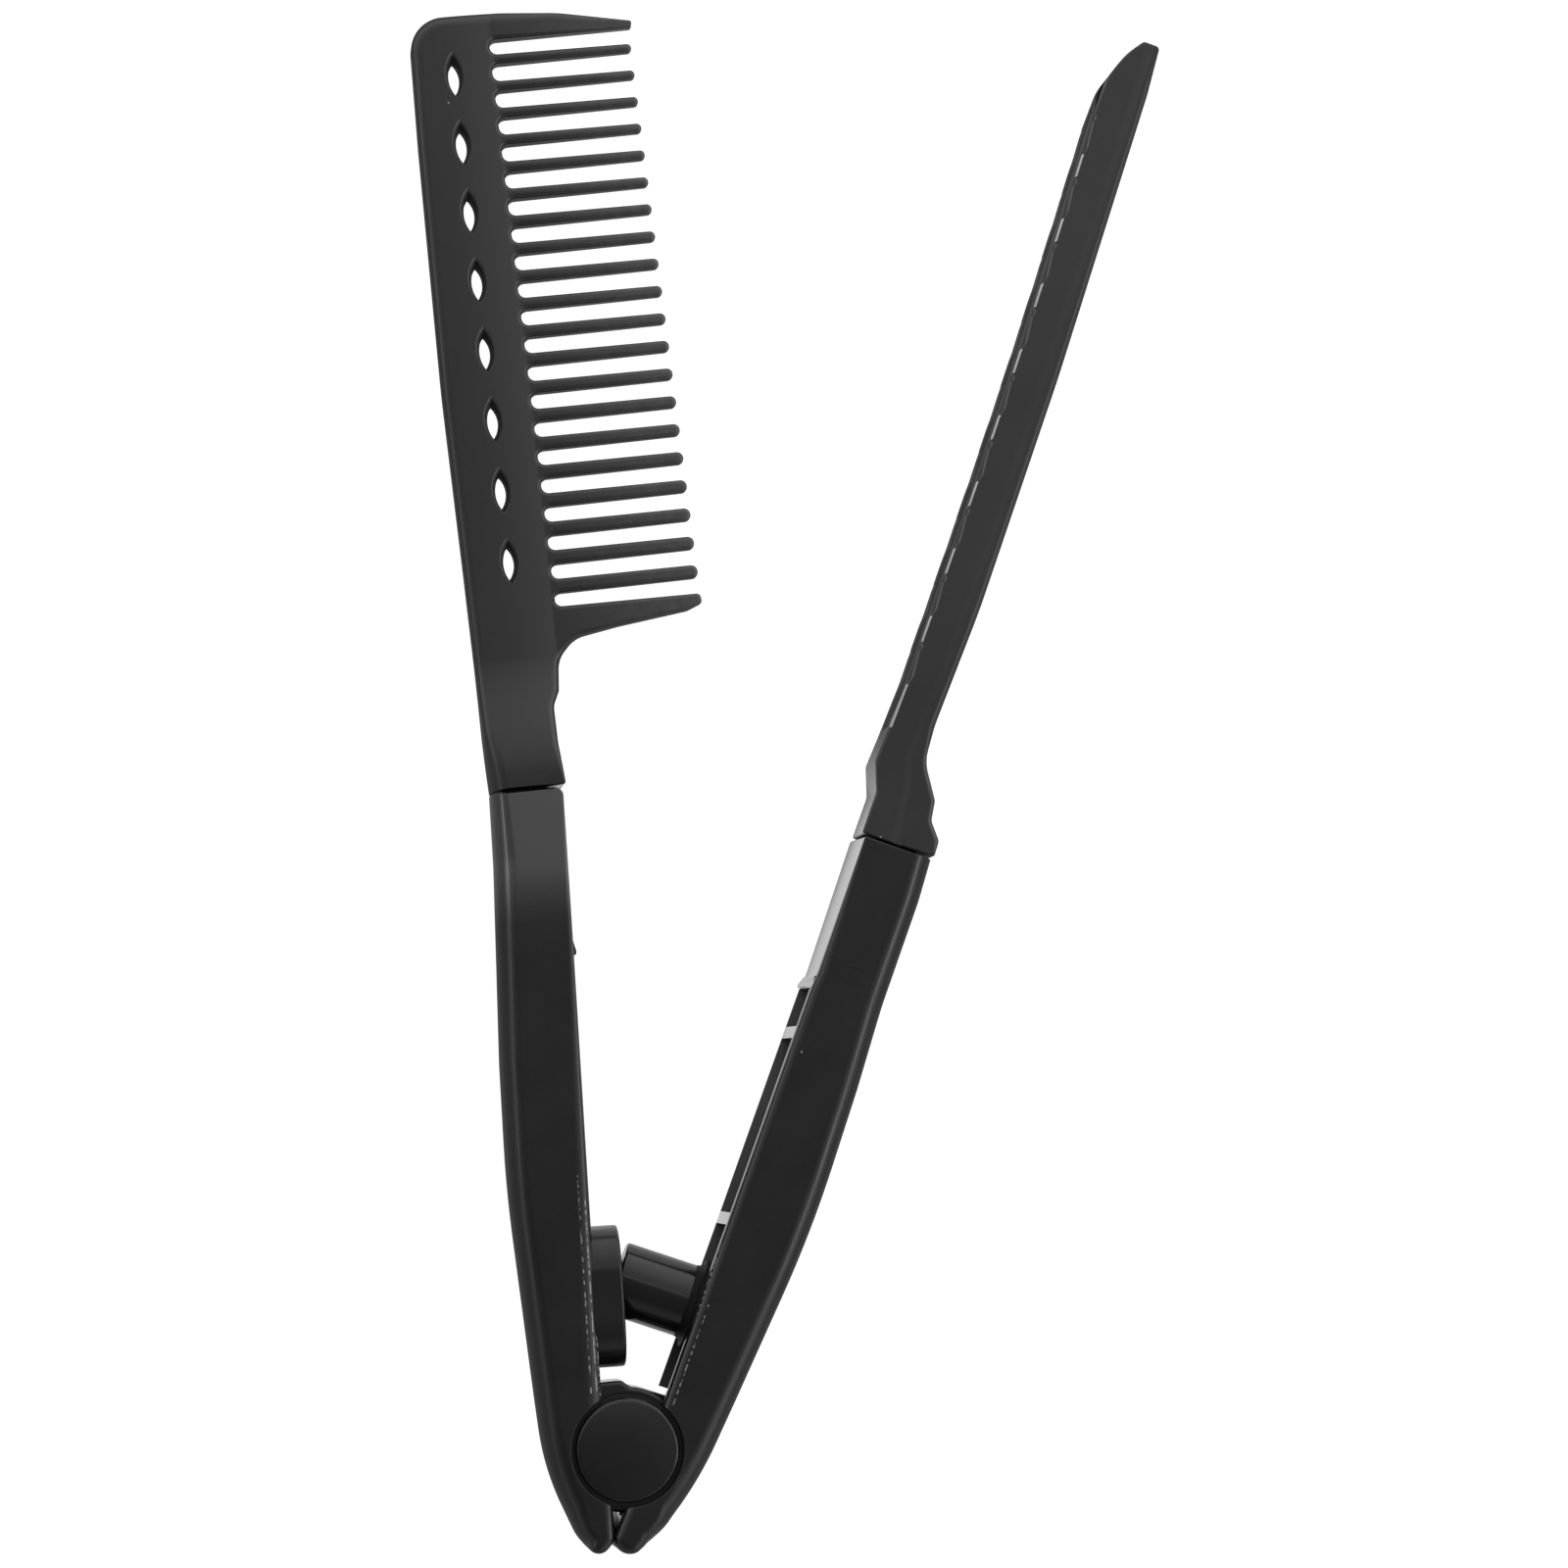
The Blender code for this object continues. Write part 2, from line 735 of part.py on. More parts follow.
def notch_corners():
    # Each notch steps in on the tip side and ramps out again toward the handle
    points = []
    for i in range(NOTCHES):
        v = NOTCH_TOP - NOTCH_PITCH * i - NOTCH_PITCH_GROWTH * i * i
        low = v - NOTCH_LENGTH
        out = low - NOTCH_RAMP
        points += [
            (crest(v), v + NOTCH_SLOPE, 0, NOTCH_EDGE),
            (crest(v) + NOTCH_DEPTH[0], v - NOTCH_SLOPE, 0, NOTCH_EDGE),
            (crest(low) + NOTCH_DEPTH[1], low, NOTCH_ROUND, NOTCH_EDGE),
            (crest(out), out, NOTCH_ROUND, NOTCH_EDGE),
        ]
    return points


def blade_corners():
    tip = [
        (11.55, 236.0, 30, 0.9),
        (10.95, 243.6, 0.7, 0.5),
        (8.15, 243.6, 0.6, 0.4),
        (6.0, 240.7, 12, 0.4),
        (4.4, 236.4, 8, 0.3),
    ]
    foot = [
        (3.6, 123.1, 5, 0.4),
        (3.15, 117.2, 2, 0.5),
        (4.9, 112.4, 2, 0.5),
        (4.75, BLADE_SEAM + GAP, 0.4, 0.35),
        (17.1, BLADE_SEAM + GAP, 0.5, 0.4),
        (17.1, 108.2, 1.4, 0.9),
        (14.9, 110.9, 1.6, 0.9),
        (14.45, 114.2, 1.6, 0.9),
        (10.9, 119.8, 7, 0.9),
        (10.7, 126.0, 20, 0.9),
        (11.75, 146.0, 120, 0.9),
        (12.15, 186.0, 300, 0.9),
    ]
    return tip + notch_corners() + foot


def panel_cutter():
    # Lowers the outer third of the front and back faces, along a line that follows the neck
    beyond = 30.0
    corners = CREASE + ((beyond, CREASE[-1][1]), (beyond, CREASE[0][1]))
    points = [Vector(corner) for corner in corners]
    face = BLADE_DEPTH / 2
    front = prism(points, face - PANEL_STEP, face + 2)
    back = prism(points, -face - 2, PANEL_STEP - face)
    return joined([front, back])


def make_blade(parent):
    shape = rounded_plate(blade_corners(), BLADE_DEPTH / 2, 2)
    blade = add_object("slotted_blade", to_mesh("slotted_blade", shape), parent, plastic("blade_black"))
    tang = add_helper("blade_tang", tang_box(BLADE_TANG, 0), parent)
    combine(blade, "UNION", tang)
    half = BLADE_DEPTH / 2 - BLADE_PLATE
    slot = add_helper("blade_slot", box(-5, 25, *BLADE_SLOT, -half, half), parent)
    combine(blade, "DIFFERENCE", slot)
    panel = add_helper("blade_panel", panel_cutter(), parent)
    combine(blade, "DIFFERENCE", panel)
    shade_evenly(blade)
    return blade


# Spring post and cup


def obround(half_length, half_depth, steps=8):
    # Long axis along v, semicircular ends, as (v, z) points
    reach = half_length - half_depth
    ring = []
    for end in (0, 1):
        for step in range(steps + 1):
            angle = math.pi * (end + step / steps)
            offset = reach if end == 0 else -reach
            ring.append((half_depth * math.sin(angle) + offset, half_depth * math.cos(angle)))
    return ring


def across(ring, u, v):
    # Stands a (v, z) ring up at u, its middle at v
    return [(u, v + a, b) for a, b in ring]


def make_cup(parent):
    # Its own frame is square to the comb handle's inner face
    face = inner_face(COMB_FACE, CUP_AT)
    tilt = math.atan2(COMB_FACE[0][0] - COMB_FACE[1][0], COMB_FACE[0][1] - COMB_FACE[1][1])
    wide = obround(*CUP_HALF)
    trimmed = obround(CUP_HALF[0] - CUP_ROUND, CUP_HALF[1] - CUP_ROUND)
    shoulder = CUP_HEIGHT - CUP_ROUND
    body = loft([across(wide, GAP, 0), across(wide, shoulder, 0), across(trimmed, CUP_HEIGHT, 0)])
    cup = add_object("spring_cup", to_mesh("spring_cup", body), parent, plastic("cup_black"))
    reach = HANDLE_DEPTH / 2 - SIDE_WALL - GAP
    long = CUP_HALF[0] - CUP_TAB_IN
    tabs = (("cup_tab_low", -long, CUP_TAB - long), ("cup_tab_high", long - CUP_TAB, long))
    for name, low, high in tabs:
        tab = add_helper(name, box(*CUP_TAB_REACH, low, high, -reach, reach), parent)
        combine(cup, "UNION", tab)
    hole = obround(*CUP_BORE_HALF)
    bore = loft([across(hole, -CUP_BORE_DEEP, 0), across(hole, CUP_BORE_DEEP, 0)])
    bore = add_helper("cup_bore", bore, parent)
    combine(cup, "DIFFERENCE", bore)
    shade_evenly(cup)
    seated = [cup] + [step.object for step in cup.modifiers if step.type == "BOOLEAN"]
    for piece in seated:
        piece.location = (face * MM, CUP_AT * MM, 0)
        piece.rotation_euler[2] = -tilt
    return cup


def make_post(parent):
    profile = [
        (POST_RADIUS - POST_CHAMFER, POST_TIP),
        (POST_RADIUS, POST_TIP + POST_CHAMFER),
        (POST_RADIUS, POST_ROOT),
    ]
    rings = []
    for radius, u in profile:
        ring = []
        for i in range(POST_SIDES):
            angle = 2 * math.pi * i / POST_SIDES
            ring.append((u, POST_AT + radius * math.cos(angle), radius * math.sin(angle)))
        rings.append(ring)
    mesh = to_mesh("spring_post", loft(rings))
    return add_object("spring_post", mesh, parent, plastic("post_black"))


def main():
    clear_scene()
    comb_arm = empty("comb_arm", COMB_LEAN)
    blade_arm = empty("blade_arm", BLADE_LEAN)
    make_comb_head(comb_arm)
    make_comb_handle(comb_arm)
    make_cup(comb_arm)
    make_hinge_pin(comb_arm)
    make_back_cap(comb_arm)
    make_blade(blade_arm)
    make_blade_handle(blade_arm)
    make_post(blade_arm)


main()
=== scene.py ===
# Dresses the folding comb for its picture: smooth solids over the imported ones, black moulded
# plastics, a pale floor, soft lights and the camera.
# Lengths are millimetres until a mesh is made. On each arm u points right and v points up it.

from math import acos, asin, atan2, cos, degrees, pi, radians, sin, tan

import bmesh
import bpy
from mathutils import Matrix, Vector


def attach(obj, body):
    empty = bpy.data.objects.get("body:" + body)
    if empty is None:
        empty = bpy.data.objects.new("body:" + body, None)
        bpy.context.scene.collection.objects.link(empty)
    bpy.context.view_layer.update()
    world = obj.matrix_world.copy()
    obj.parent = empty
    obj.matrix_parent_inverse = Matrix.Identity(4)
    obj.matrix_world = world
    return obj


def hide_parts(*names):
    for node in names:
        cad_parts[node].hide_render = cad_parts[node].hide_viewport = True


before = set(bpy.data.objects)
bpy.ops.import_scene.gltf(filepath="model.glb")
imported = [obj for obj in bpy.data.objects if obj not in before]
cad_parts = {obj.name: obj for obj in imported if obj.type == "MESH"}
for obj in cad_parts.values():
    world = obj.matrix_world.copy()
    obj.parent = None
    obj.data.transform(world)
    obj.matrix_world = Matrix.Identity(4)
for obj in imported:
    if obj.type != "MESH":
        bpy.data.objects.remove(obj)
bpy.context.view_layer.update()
scene = bpy.context.scene

mm = 0.001
gap = 0.3  # between two pieces that move against each other or meet at a seam

# An arc is split every so many degrees, by its radius: (radius up to, degrees)
arcSteps = ((0.6, 22.5), (1.3, 15), (3.0, 9), (12.0, 5), (30.0, 2.5), (1000.0, 0.8))

hinge = {
    "place": (-25.68, -108.04, 8.0),
    "lean": {"comb_arm": 6.2, "blade_arm": -18.3},  # degrees from straight up
}
shading = {
    "weld": 0.0005,
    "sharpAngle": 32,  # in degrees
    "weight": 80,
}


def armMatrix(body):
    place = Matrix.Translation(Vector(hinge["place"]) * mm)
    return place @ Matrix.Rotation(radians(hinge["lean"][body]), 4, "Z")


# Outlines: a corner is (u, v, fillet radius, edge rounding), listed anticlockwise


def fillet(before, at, after, radius):
    if radius <= 0:
        return [at]
    back = (before - at).normalized()
    on = (after - at).normalized()
    turn = pi - back.angle(on)
    start = at + back * radius * tan(turn / 2)
    centre = at + (back + on).normalized() * (radius / cos(turn / 2))
    side = 1 if on.x * back.y - on.y * back.x > 0 else -1
    each = next(step for limit, step in arcSteps if radius <= limit)
    steps = max(2, round(degrees(turn) / each))
    arm = start - centre
    arc = []
    for step in range(steps + 1):
        angle = side * turn * step / steps
        c, s = cos(angle), sin(angle)
        arc.append(centre + Vector((arm.x * c - arm.y * s, arm.x * s + arm.y * c)))
    return arc


def outline(corners):
    points, edges = [], []
    count = len(corners)
    for i, (u, v, radius, edge) in enumerate(corners):
        before = Vector(corners[i - 1][:2])
        after = Vector(corners[(i + 1) % count][:2])
        arc = fillet(before, Vector((u, v)), after, radius)
        points += arc
        edges += [edge] * len(arc)
    return points, edges


def inset(points, distances):
    # Each point moves in by its distance, or by its own vector
    moved = []
    for i, (point, distance) in enumerate(zip(points, distances)):
        if not isinstance(distance, Vector):
            arriving = (point - points[i - 1]).normalized()
            leaving = (points[(i + 1) % len(points)] - point).normalized()
            first = Vector((-arriving.y, arriving.x))
            second = Vector((-leaving.y, leaving.x))
            distance = (first + second) / max(0.3, 1 + first.dot(second)) * distance
        moved.append(point + distance)
    return moved


def quarter(steps):
    # A quarter round from its side to its top, as shares (in from the side, down from the top)
    angles = [pi / 2 * step / steps for step in range(steps + 1)]
    return [(1 - cos(angle), 1 - sin(angle)) for angle in angles]


def circle(radius, sides):
    angles = [2 * pi * i / sides for i in range(sides)]
    return [(radius * cos(angle), radius * sin(angle)) for angle in angles]


def evenly(start, end, steps):
    return [start + (end - start) * i / steps for i in range(steps + 1)]


def loft(rings):
    shape = bmesh.new()
    made = [[shape.verts.new(Vector(point) * mm) for point in ring] for ring in rings]
    count = len(rings[0])
    for low, high in zip(made, made[1:]):
        for i in range(count):
            j = (i + 1) % count
            shape.faces.new((low[i], low[j], high[j], high[i]))
    shape.faces.new(reversed(made[0]))
    shape.faces.new(made[-1])
    bmesh.ops.recalc_face_normals(shape, faces=shape.faces[:])
    return shape


def prism(points, bottom, top):
    return loft([[(p.x, p.y, height) for p in points] for height in (bottom, top)])


def roundedPrism(points, sizes, half, steps=5):
    # About the middle plane, with a rim rounded by (in from the side, down from the face)
    upper = []
    for inward, down in quarter(steps):
        moved = inset(points, [wide * inward for wide, deep in sizes])
        upper.append([(p.x, p.y, half - deep * down) for p, (wide, deep) in zip(moved, sizes)])
    lower = [[(u, v, -height) for u, v, height in ring] for ring in reversed(upper)]
    return loft(lower + upper)


def roundedPlate(corners, half, steps=6):
    # A corner's edge rounding is one radius, or (in, down), where in may be a (u, v) vector
    points, edges = outline(corners)
    sizes = [edge if isinstance(edge, tuple) else (edge, edge) for edge in edges]
    sizes = [(Vector(w) if isinstance(w, tuple) else w, deep) for w, deep in sizes]
    return roundedPrism(points, sizes, half, steps)


def splitAt(shape, axis, places):
    # Splits its faces where they cross each of these places along u (0), v (1) or z (2)
    for place in places:
        at, normal = Vector(), Vector()
        at[axis], normal[axis] = place * mm, 1
        parts = shape.verts[:] + shape.edges[:] + shape.faces[:]
        bmesh.ops.bisect_plane(shape, geom=parts, plane_co=at, plane_no=normal)


def roundAbout(profile, sides):
    # A round piece about the hinge axis, from (radius, height) points going up
    return loft([[(u, v, height) for u, v in circle(radius, sides)] for radius, height in profile])


def disc(radius, bottom, top, sides=96):
    return roundAbout([(radius, bottom), (radius, top)], sides)


def box(u0, u1, v0, v1, z0, z1):
    return prism([Vector(p) for p in ((u0, v0), (u1, v0), (u1, v1), (u0, v1))], z0, z1)


def tangBox(tang, grow=0.0):
    u0, u1, v0, v1, half = tang
    return box(u0 - grow, u1 + grow, v0 - grow, v1 + grow, -half - grow, half + grow)


def across(ring, u, v=0.0):
    # Stands a (v, z) ring up at u, its middle at v
    return [(u, v + a, b) for a, b in ring]


def between(value, low, high):
    return min(1.0, max(0.0, (value - low) / (high - low)))


def eased(part):
    return part * part * (3 - 2 * part)


# Solids: a mesh object on its arm, and the shapes that a Boolean adds to it or cuts from it


def addObject(name, data, place=(0, 0, 0)):
    made = bpy.data.objects.new(name, data)
    made.location = place
    scene.collection.objects.link(made)
    return made


def meshOf(name, *shapes):
    whole = bmesh.new()
    for shape in shapes:
        part = bpy.data.meshes.new("part")
        shape.to_mesh(part)
        shape.free()
        whole.from_mesh(part)
        bpy.data.meshes.remove(part)
    mesh = bpy.data.meshes.new(name)
    whole.to_mesh(mesh)
    whole.free()
    return mesh


def addSolid(name, shape, body, place=Matrix.Identity(4)):
    solid = addObject(name, meshOf(name, shape))
    solid.matrix_world = armMatrix(body) @ place
    return solid


def combine(solid, operation, shapes):
    # The shapes stay apart from one another, so one Boolean takes them all
    tool = addObject("tool", meshOf("tool", *shapes))
    tool.matrix_world = solid.matrix_world
    step = solid.modifiers.new("combine", "BOOLEAN")
    step.operation = operation
    step.solver = "EXACT"
    step.object = tool
    bpy.context.view_layer.update()
    result = solid.evaluated_get(bpy.context.evaluated_depsgraph_get())
    spent = (solid.data, tool.data)
    solid.data = bpy.data.meshes.new_from_object(result)
    solid.modifiers.clear()
    bpy.data.objects.remove(tool)
    for mesh in spent:
        bpy.data.meshes.remove(mesh)


def join(solid, *shapes):
    combine(solid, "UNION", shapes)


def cut(solid, *shapes):
    combine(solid, "DIFFERENCE", shapes)


def weld(mesh):
    # Closes the slivers that a Boolean leaves where two faces nearly meet
    shape = bmesh.new()
    shape.from_mesh(mesh)
    bmesh.ops.remove_doubles(shape, verts=shape.verts[:], dist=shading["weld"] * mm)
    bmesh.ops.dissolve_degenerate(shape, dist=shading["weld"] * mm, edges=shape.edges[:])
    shape.to_mesh(mesh)
    shape.free()


def dress(solid, body, node, plastics, choose=None):
    # Smooth shading, its plastics, and its place on the frame. A rule may choose each face's
    # plastic by its place and normal on the arm
    mesh = solid.data
    weld(mesh)
    chosen = [choose(face) if choose else 0 for face in mesh.polygons]
    mesh.transform(solid.matrix_world)
    solid.matrix_world = Matrix.Identity(4)
    mesh.materials.clear()
    for material in plastics:
        mesh.materials.append(material)
    mesh.polygons.foreach_set("material_index", chosen)
    mesh.shade_smooth()
    mesh.set_sharp_from_angle(angle=radians(shading["sharpAngle"]))
    step = solid.modifiers.new("evenShading", "WEIGHTED_NORMAL")
    step.keep_sharp = True
    step.weight = shading["weight"]
    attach(solid, body)
    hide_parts(node)


# Nodes


def fill(tree, node, values):
    # Each value is a number, a vector or colour, or another node's output
    for name, value in values.items():
        if isinstance(value, bpy.types.NodeSocket):
            tree.links.new(value, node.inputs[name])
        else:
            node.inputs[name].default_value = value


def addNode(tree, kind, values=None, **settings):
    node = tree.nodes.new("ShaderNode" + kind)
    for name, value in settings.items():
        setattr(node, name, value)
    fill(tree, node, values or {})
    return node.outputs


def addMath(tree, operation, *values):
    return addNode(tree, "Math", dict(enumerate(values)), operation=operation)[0]


def addDot(tree, first, second):
    return addNode(tree, "VectorMath", {0: first, 1: second}, operation="DOT_PRODUCT")["Value"]


def addRange(tree, value, start, end, low=0.0, high=1.0):
    # Low up to the start, high from the end on, and even in between
    values = {"Value": value, "From Min": start, "From Max": end, "To Min": low, "To Max": high}
    return addNode(tree, "MapRange", values)["Result"]


def placeOn(tree, kind="Object"):
    return addNode(tree, "TexCoord")[kind]


def scaledPlace(tree, size):
    # Places on the piece in units of size, which is in millimetres, a value or a socket
    values = {0: placeOn(tree), "Scale": addMath(tree, "DIVIDE", 1 / mm, size)}
    return addNode(tree, "VectorMath", values, operation="SCALE")[0]


def fromHinge(tree, place, unit=1.0):
    # How far to the right of the hinge and above it a place lies
    place = addNode(tree, "SeparateXYZ", {0: place})
    return [addMath(tree, "SUBTRACT", place[i], hinge["place"][i] * unit) for i in (0, 1)]


def addNoise(tree, size, detail, rough=0.5):
    values = {"Vector": scaledPlace(tree, size), "Scale": 1.0, "Detail": detail, "Roughness": rough}
    return addNode(tree, "TexNoise", values)["Fac"]


# Node groups that several plastics use, each with one output


def makeGroup(name, output, build, *inputs):
    group = bpy.data.node_groups.new(name, "ShaderNodeTree")
    for label in inputs:
        group.interface.new_socket(label, in_out="INPUT", socket_type="NodeSocketFloat")
    group.interface.new_socket(output, in_out="OUTPUT", socket_type="NodeSocketFloat")
    made = build(group, group.nodes.new("NodeGroupInput").outputs)
    fill(group, group.nodes.new("NodeGroupOutput"), {output: made})


def placeGroup(tree, name, values):
    return addNode(tree, "Group", values, node_tree=bpy.data.node_groups[name])[0]


def buildGrain(tree, given):
    # Fine pits and bumps that a mould leaves, as a height from 0 to 1
    return addNoise(tree, given["Grain Size"], 2.0, 0.6)


def buildPatches(tree, given):
    # Slow changes over the surface, from a low value to a high one
    noise = addNoise(tree, given["Patch Size"], 3.0)
    return addRange(tree, noise, 0.3, 0.7, given["Low"], given["High"])


def buildSpecks(tree, given):
    # Sparse dust specks, each a small dot
    place = scaledPlace(tree, given["Spacing"])
    cells = addNode(tree, "TexVoronoi", {"Vector": place, "Scale": 1.0})
    radius = addMath(tree, "DIVIDE", given["Speck Size"], given["Spacing"])
    near = addMath(tree, "LESS_THAN", cells["Distance"], radius)
    drawn = addNode(tree, "SeparateColor", {0: cells["Color"]})[0]
    return addMath(tree, "MULTIPLY", near, addMath(tree, "LESS_THAN", drawn, given["Share"]))


def buildWear(tree, given):
    # Where the surface bends sharply, in patches
    reach = addMath(tree, "MULTIPLY", given["Reach"], mm)
    bent = addNode(tree, "Bevel", {"Radius": reach}, samples=4)[0]
    agree = addDot(tree, bent, addNode(tree, "NewGeometry")["Normal"])
    chosen = addRange(tree, addNoise(tree, given["Patch Size"], 3.0), 0.45, 0.7)
    return addMath(tree, "MULTIPLY", addRange(tree, agree, 0.985, 0.93), chosen)


def buildScuffAndGlints(tree, given):
    # Specks along a straight line, partly scuff marks and partly painted glints. The line lies Offset
    # from the hinge along its normal, and runs between two distances from the hinge
    x, y = fromHinge(tree, scaledPlace(tree, 1.0))
    sideX, sideY = given["Normal X"], given["Normal Y"]
    aside = addMath(tree, "MULTIPLY_ADD", x, sideX, addMath(tree, "MULTIPLY", y, sideY))
    along = addMath(tree, "MULTIPLY", y, sideX)
    along = addMath(tree, "SUBTRACT", along, addMath(tree, "MULTIPLY", x, sideY))
    off = addMath(tree, "ABSOLUTE", addMath(tree, "SUBTRACT", aside, given["Offset"]))
    mask = addMath(tree, "LESS_THAN", off, given["Width"])
    mask = addMath(tree, "MULTIPLY", mask, addMath(tree, "GREATER_THAN", along, given["From"]))
    mask = addMath(tree, "MULTIPLY", mask, addMath(tree, "LESS_THAN", along, given["To"]))
    chosen = addRange(tree, addNoise(tree, given["Speck Size"], 2.0), 0.47, 0.6)
    return addMath(tree, "MULTIPLY", mask, chosen)


def buildFaces(tree, given):
    # 1 on the front, the back and the outer sides, 0 on the smoother sides toward the gap
    normal = addNode(tree, "SeparateXYZ", {0: placeOn(tree, "Normal")})
    place = addNode(tree, "SeparateXYZ", {0: placeOn(tree)})
    # The line halfway between the arms, on which x follows y
    slope = -tan(radians(sum(hinge["lean"].values()) / 2))
    start = (hinge["place"][0] - hinge["place"][1] * slope) * mm
    middle = addMath(tree, "MULTIPLY_ADD", place["Y"], slope, start)
    side = addMath(tree, "SIGN", addMath(tree, "SUBTRACT", place["X"], middle))
    outward = addMath(tree, "MULTIPLY", normal["X"], side)
    most = addMath(tree, "MAXIMUM", addMath(tree, "ABSOLUTE", normal["Z"]), outward)
    return addRange(tree, most, given["From"], given["To"])


# Each effect: its output, what builds it, and its inputs
effects = {
    "mouldGrain": ("Height", buildGrain, "Grain Size"),
    "slowPatches": ("Value", buildPatches, "Patch Size", "Low", "High"),
    "dustSpecks": ("Mask", buildSpecks, "Spacing", "Speck Size", "Share"),
    "edgeWear": ("Mask", buildWear, "Reach", "Patch Size"),
    "roughFaces": ("Mask", buildFaces, "From", "To"),
    "scuffAndGlintLine": (
        "Mask", buildScuffAndGlints, "Normal X", "Normal Y", "Offset", "Width", "From", "To", "Speck Size",
    ),
}
for effectName, effect in effects.items():
    makeGroup(effectName, *effect)
print("node groups ready")

# Plastics

plastic = {
    # What a look has where it doesn't say otherwise
    "look": {
        "sides": 1.0, "gloss": 0.5, "grain": 0.5, "grainSize": 0.5, "edge": 0.1, "wear": 0.02,
    },
    "coat": {"Coat IOR": 1.7, "Coat Roughness": 0.16},
    "specks": {"Spacing": 7.0, "Speck Size": 0.16, "Share": 0.35},
    "wear": {"Reach": 0.25, "Patch Size": 2.2},
    "faces": {"From": 0.25, "To": 0.8},
    "scuffGlintSpeck": 0.8,
    # Patch size, and how far the value varies to each side
    "greyPatches": (30.0, 0.25),
    "tipSheenStreaks": (1.6, 0.3),
    "roughPatch": 9.0,
    "grainDepth": 0.02,
}


def grey(value):
    return (value, value, value, 1.0)


def startMaterial(name, values):
    material = bpy.data.materials.new(name)
    material.use_nodes = True
    tree = material.node_tree
    shader = tree.nodes["Principled BSDF"]
    fill(tree, shader, values)
    return material, tree, shader


def addPatches(tree, size, low, high):
    return placeGroup(tree, "slowPatches", {"Patch Size": size, "Low": low, "High": high})


def varied(tree, value, patches):
    size, vary = patches
    return addPatches(tree, size, value * (1 - vary), value * (1 + vary))


def fadeAlong(tree, axis, start, end):
    # From 0 to 1 between two distances from the hinge, along the comb arm's u or v
    turn = radians(hinge["lean"]["comb_arm"])
    ways = {"u": (cos(turn), sin(turn), 0), "v": (-sin(turn), cos(turn), 0)}
    zero = Vector(hinge["place"]).dot(Vector(ways[axis])) * mm
    far = addMath(tree, "SUBTRACT", addDot(tree, placeOn(tree), ways[axis]), zero)
    return addRange(tree, far, start * mm, end * mm)


def scuffAndGlintLift(tree, look):
    # The scuffed lines beside an inner face, each (in from it, from v, to v); their specks are partly
    # scuff marks, partly painted glints
    (u0, v0), (u1, v1) = look["face"]
    slant = atan2(u1 - u0, v1 - v0)
    lean = radians(hinge["lean"][look["body"]]) - slant
    offset = innerFace(look["face"], 0.0) * cos(slant)
    total = 0.0
    for depth, low, high in look["lines"]:
        values = {
            "Normal X": cos(lean), "Normal Y": sin(lean), "Width": look["width"],
            "Offset": offset + look["inward"] * depth, "From": low, "To": high,
            "Speck Size": plastic["scuffGlintSpeck"],
        }
        total = addMath(tree, "MAXIMUM", placeGroup(tree, "scuffAndGlintLine", values), total)
    return addMath(tree, "MULTIPLY", total, look["lift"])


def mouldedPlastic(name, look):
    look = plastic["look"] | look
    material, tree, shader = startMaterial(name, {"IOR": look["ior"]} | plastic["coat"])
    # Slow patches of grey, lighter at dust, at rubbed edges, in a painted sheen toward the teeth's
    # tips, and in specks that are partly scuff marks and partly painted glints
    lift = varied(tree, look["grey"], plastic["greyPatches"])
    specks = placeGroup(tree, "dustSpecks", plastic["specks"])
    lift = addMath(tree, "MULTIPLY_ADD", specks, look["dust"], lift)
    wear = placeGroup(tree, "edgeWear", plastic["wear"])
    lift = addMath(tree, "MULTIPLY_ADD", wear, look["wear"], lift)
    # A painted sheen: the grey rises in streaks toward the teeth's tips
    if "tips" in look:
        start, end, most = look["tips"]
        streaks = varied(tree, most, plastic["tipSheenStreaks"])
        lift = addMath(tree, "MULTIPLY_ADD", fadeAlong(tree, "u", start, end), streaks, lift)
    if "scuffsAndGlints" in look:
        lift = addMath(tree, "ADD", lift, scuffAndGlintLift(tree, look["scuffsAndGlints"]))
    colour = addNode(tree, "CombineColor", {0: lift, 1: lift, 2: lift})[0]
    # The sides toward the gap are smoother, and glossy
    faces = placeGroup(tree, "roughFaces", plastic["faces"])
    rough = addPatches(tree, plastic["roughPatch"], *look["rough"])
    rough = addMath(tree, "MULTIPLY", rough, addRange(tree, faces, 0, 1, look["sides"], 1))
    coat = addRange(tree, faces, 0, 1, look["gloss"], 0)
    if "polish" in look:
        # Polished by the hand from one v to another
        coat = addMath(tree, "MAXIMUM", coat, fadeAlong(tree, "v", *look["polish"]))
    bump = {
        "Strength": look["grain"], "Distance": plastic["grainDepth"] * mm,
        "Height": placeGroup(tree, "mouldGrain", {"Grain Size": look["grainSize"]}),
        "Normal": addNode(tree, "Bevel", {"Radius": look["edge"] * mm}, samples=6)[0],
    }
    normal = addNode(tree, "Bump", bump)[0]
    values = {"Base Color": colour, "Roughness": rough, "Coat Weight": coat, "Normal": normal}
    fill(tree, shader, values)
    return material


# Comb head

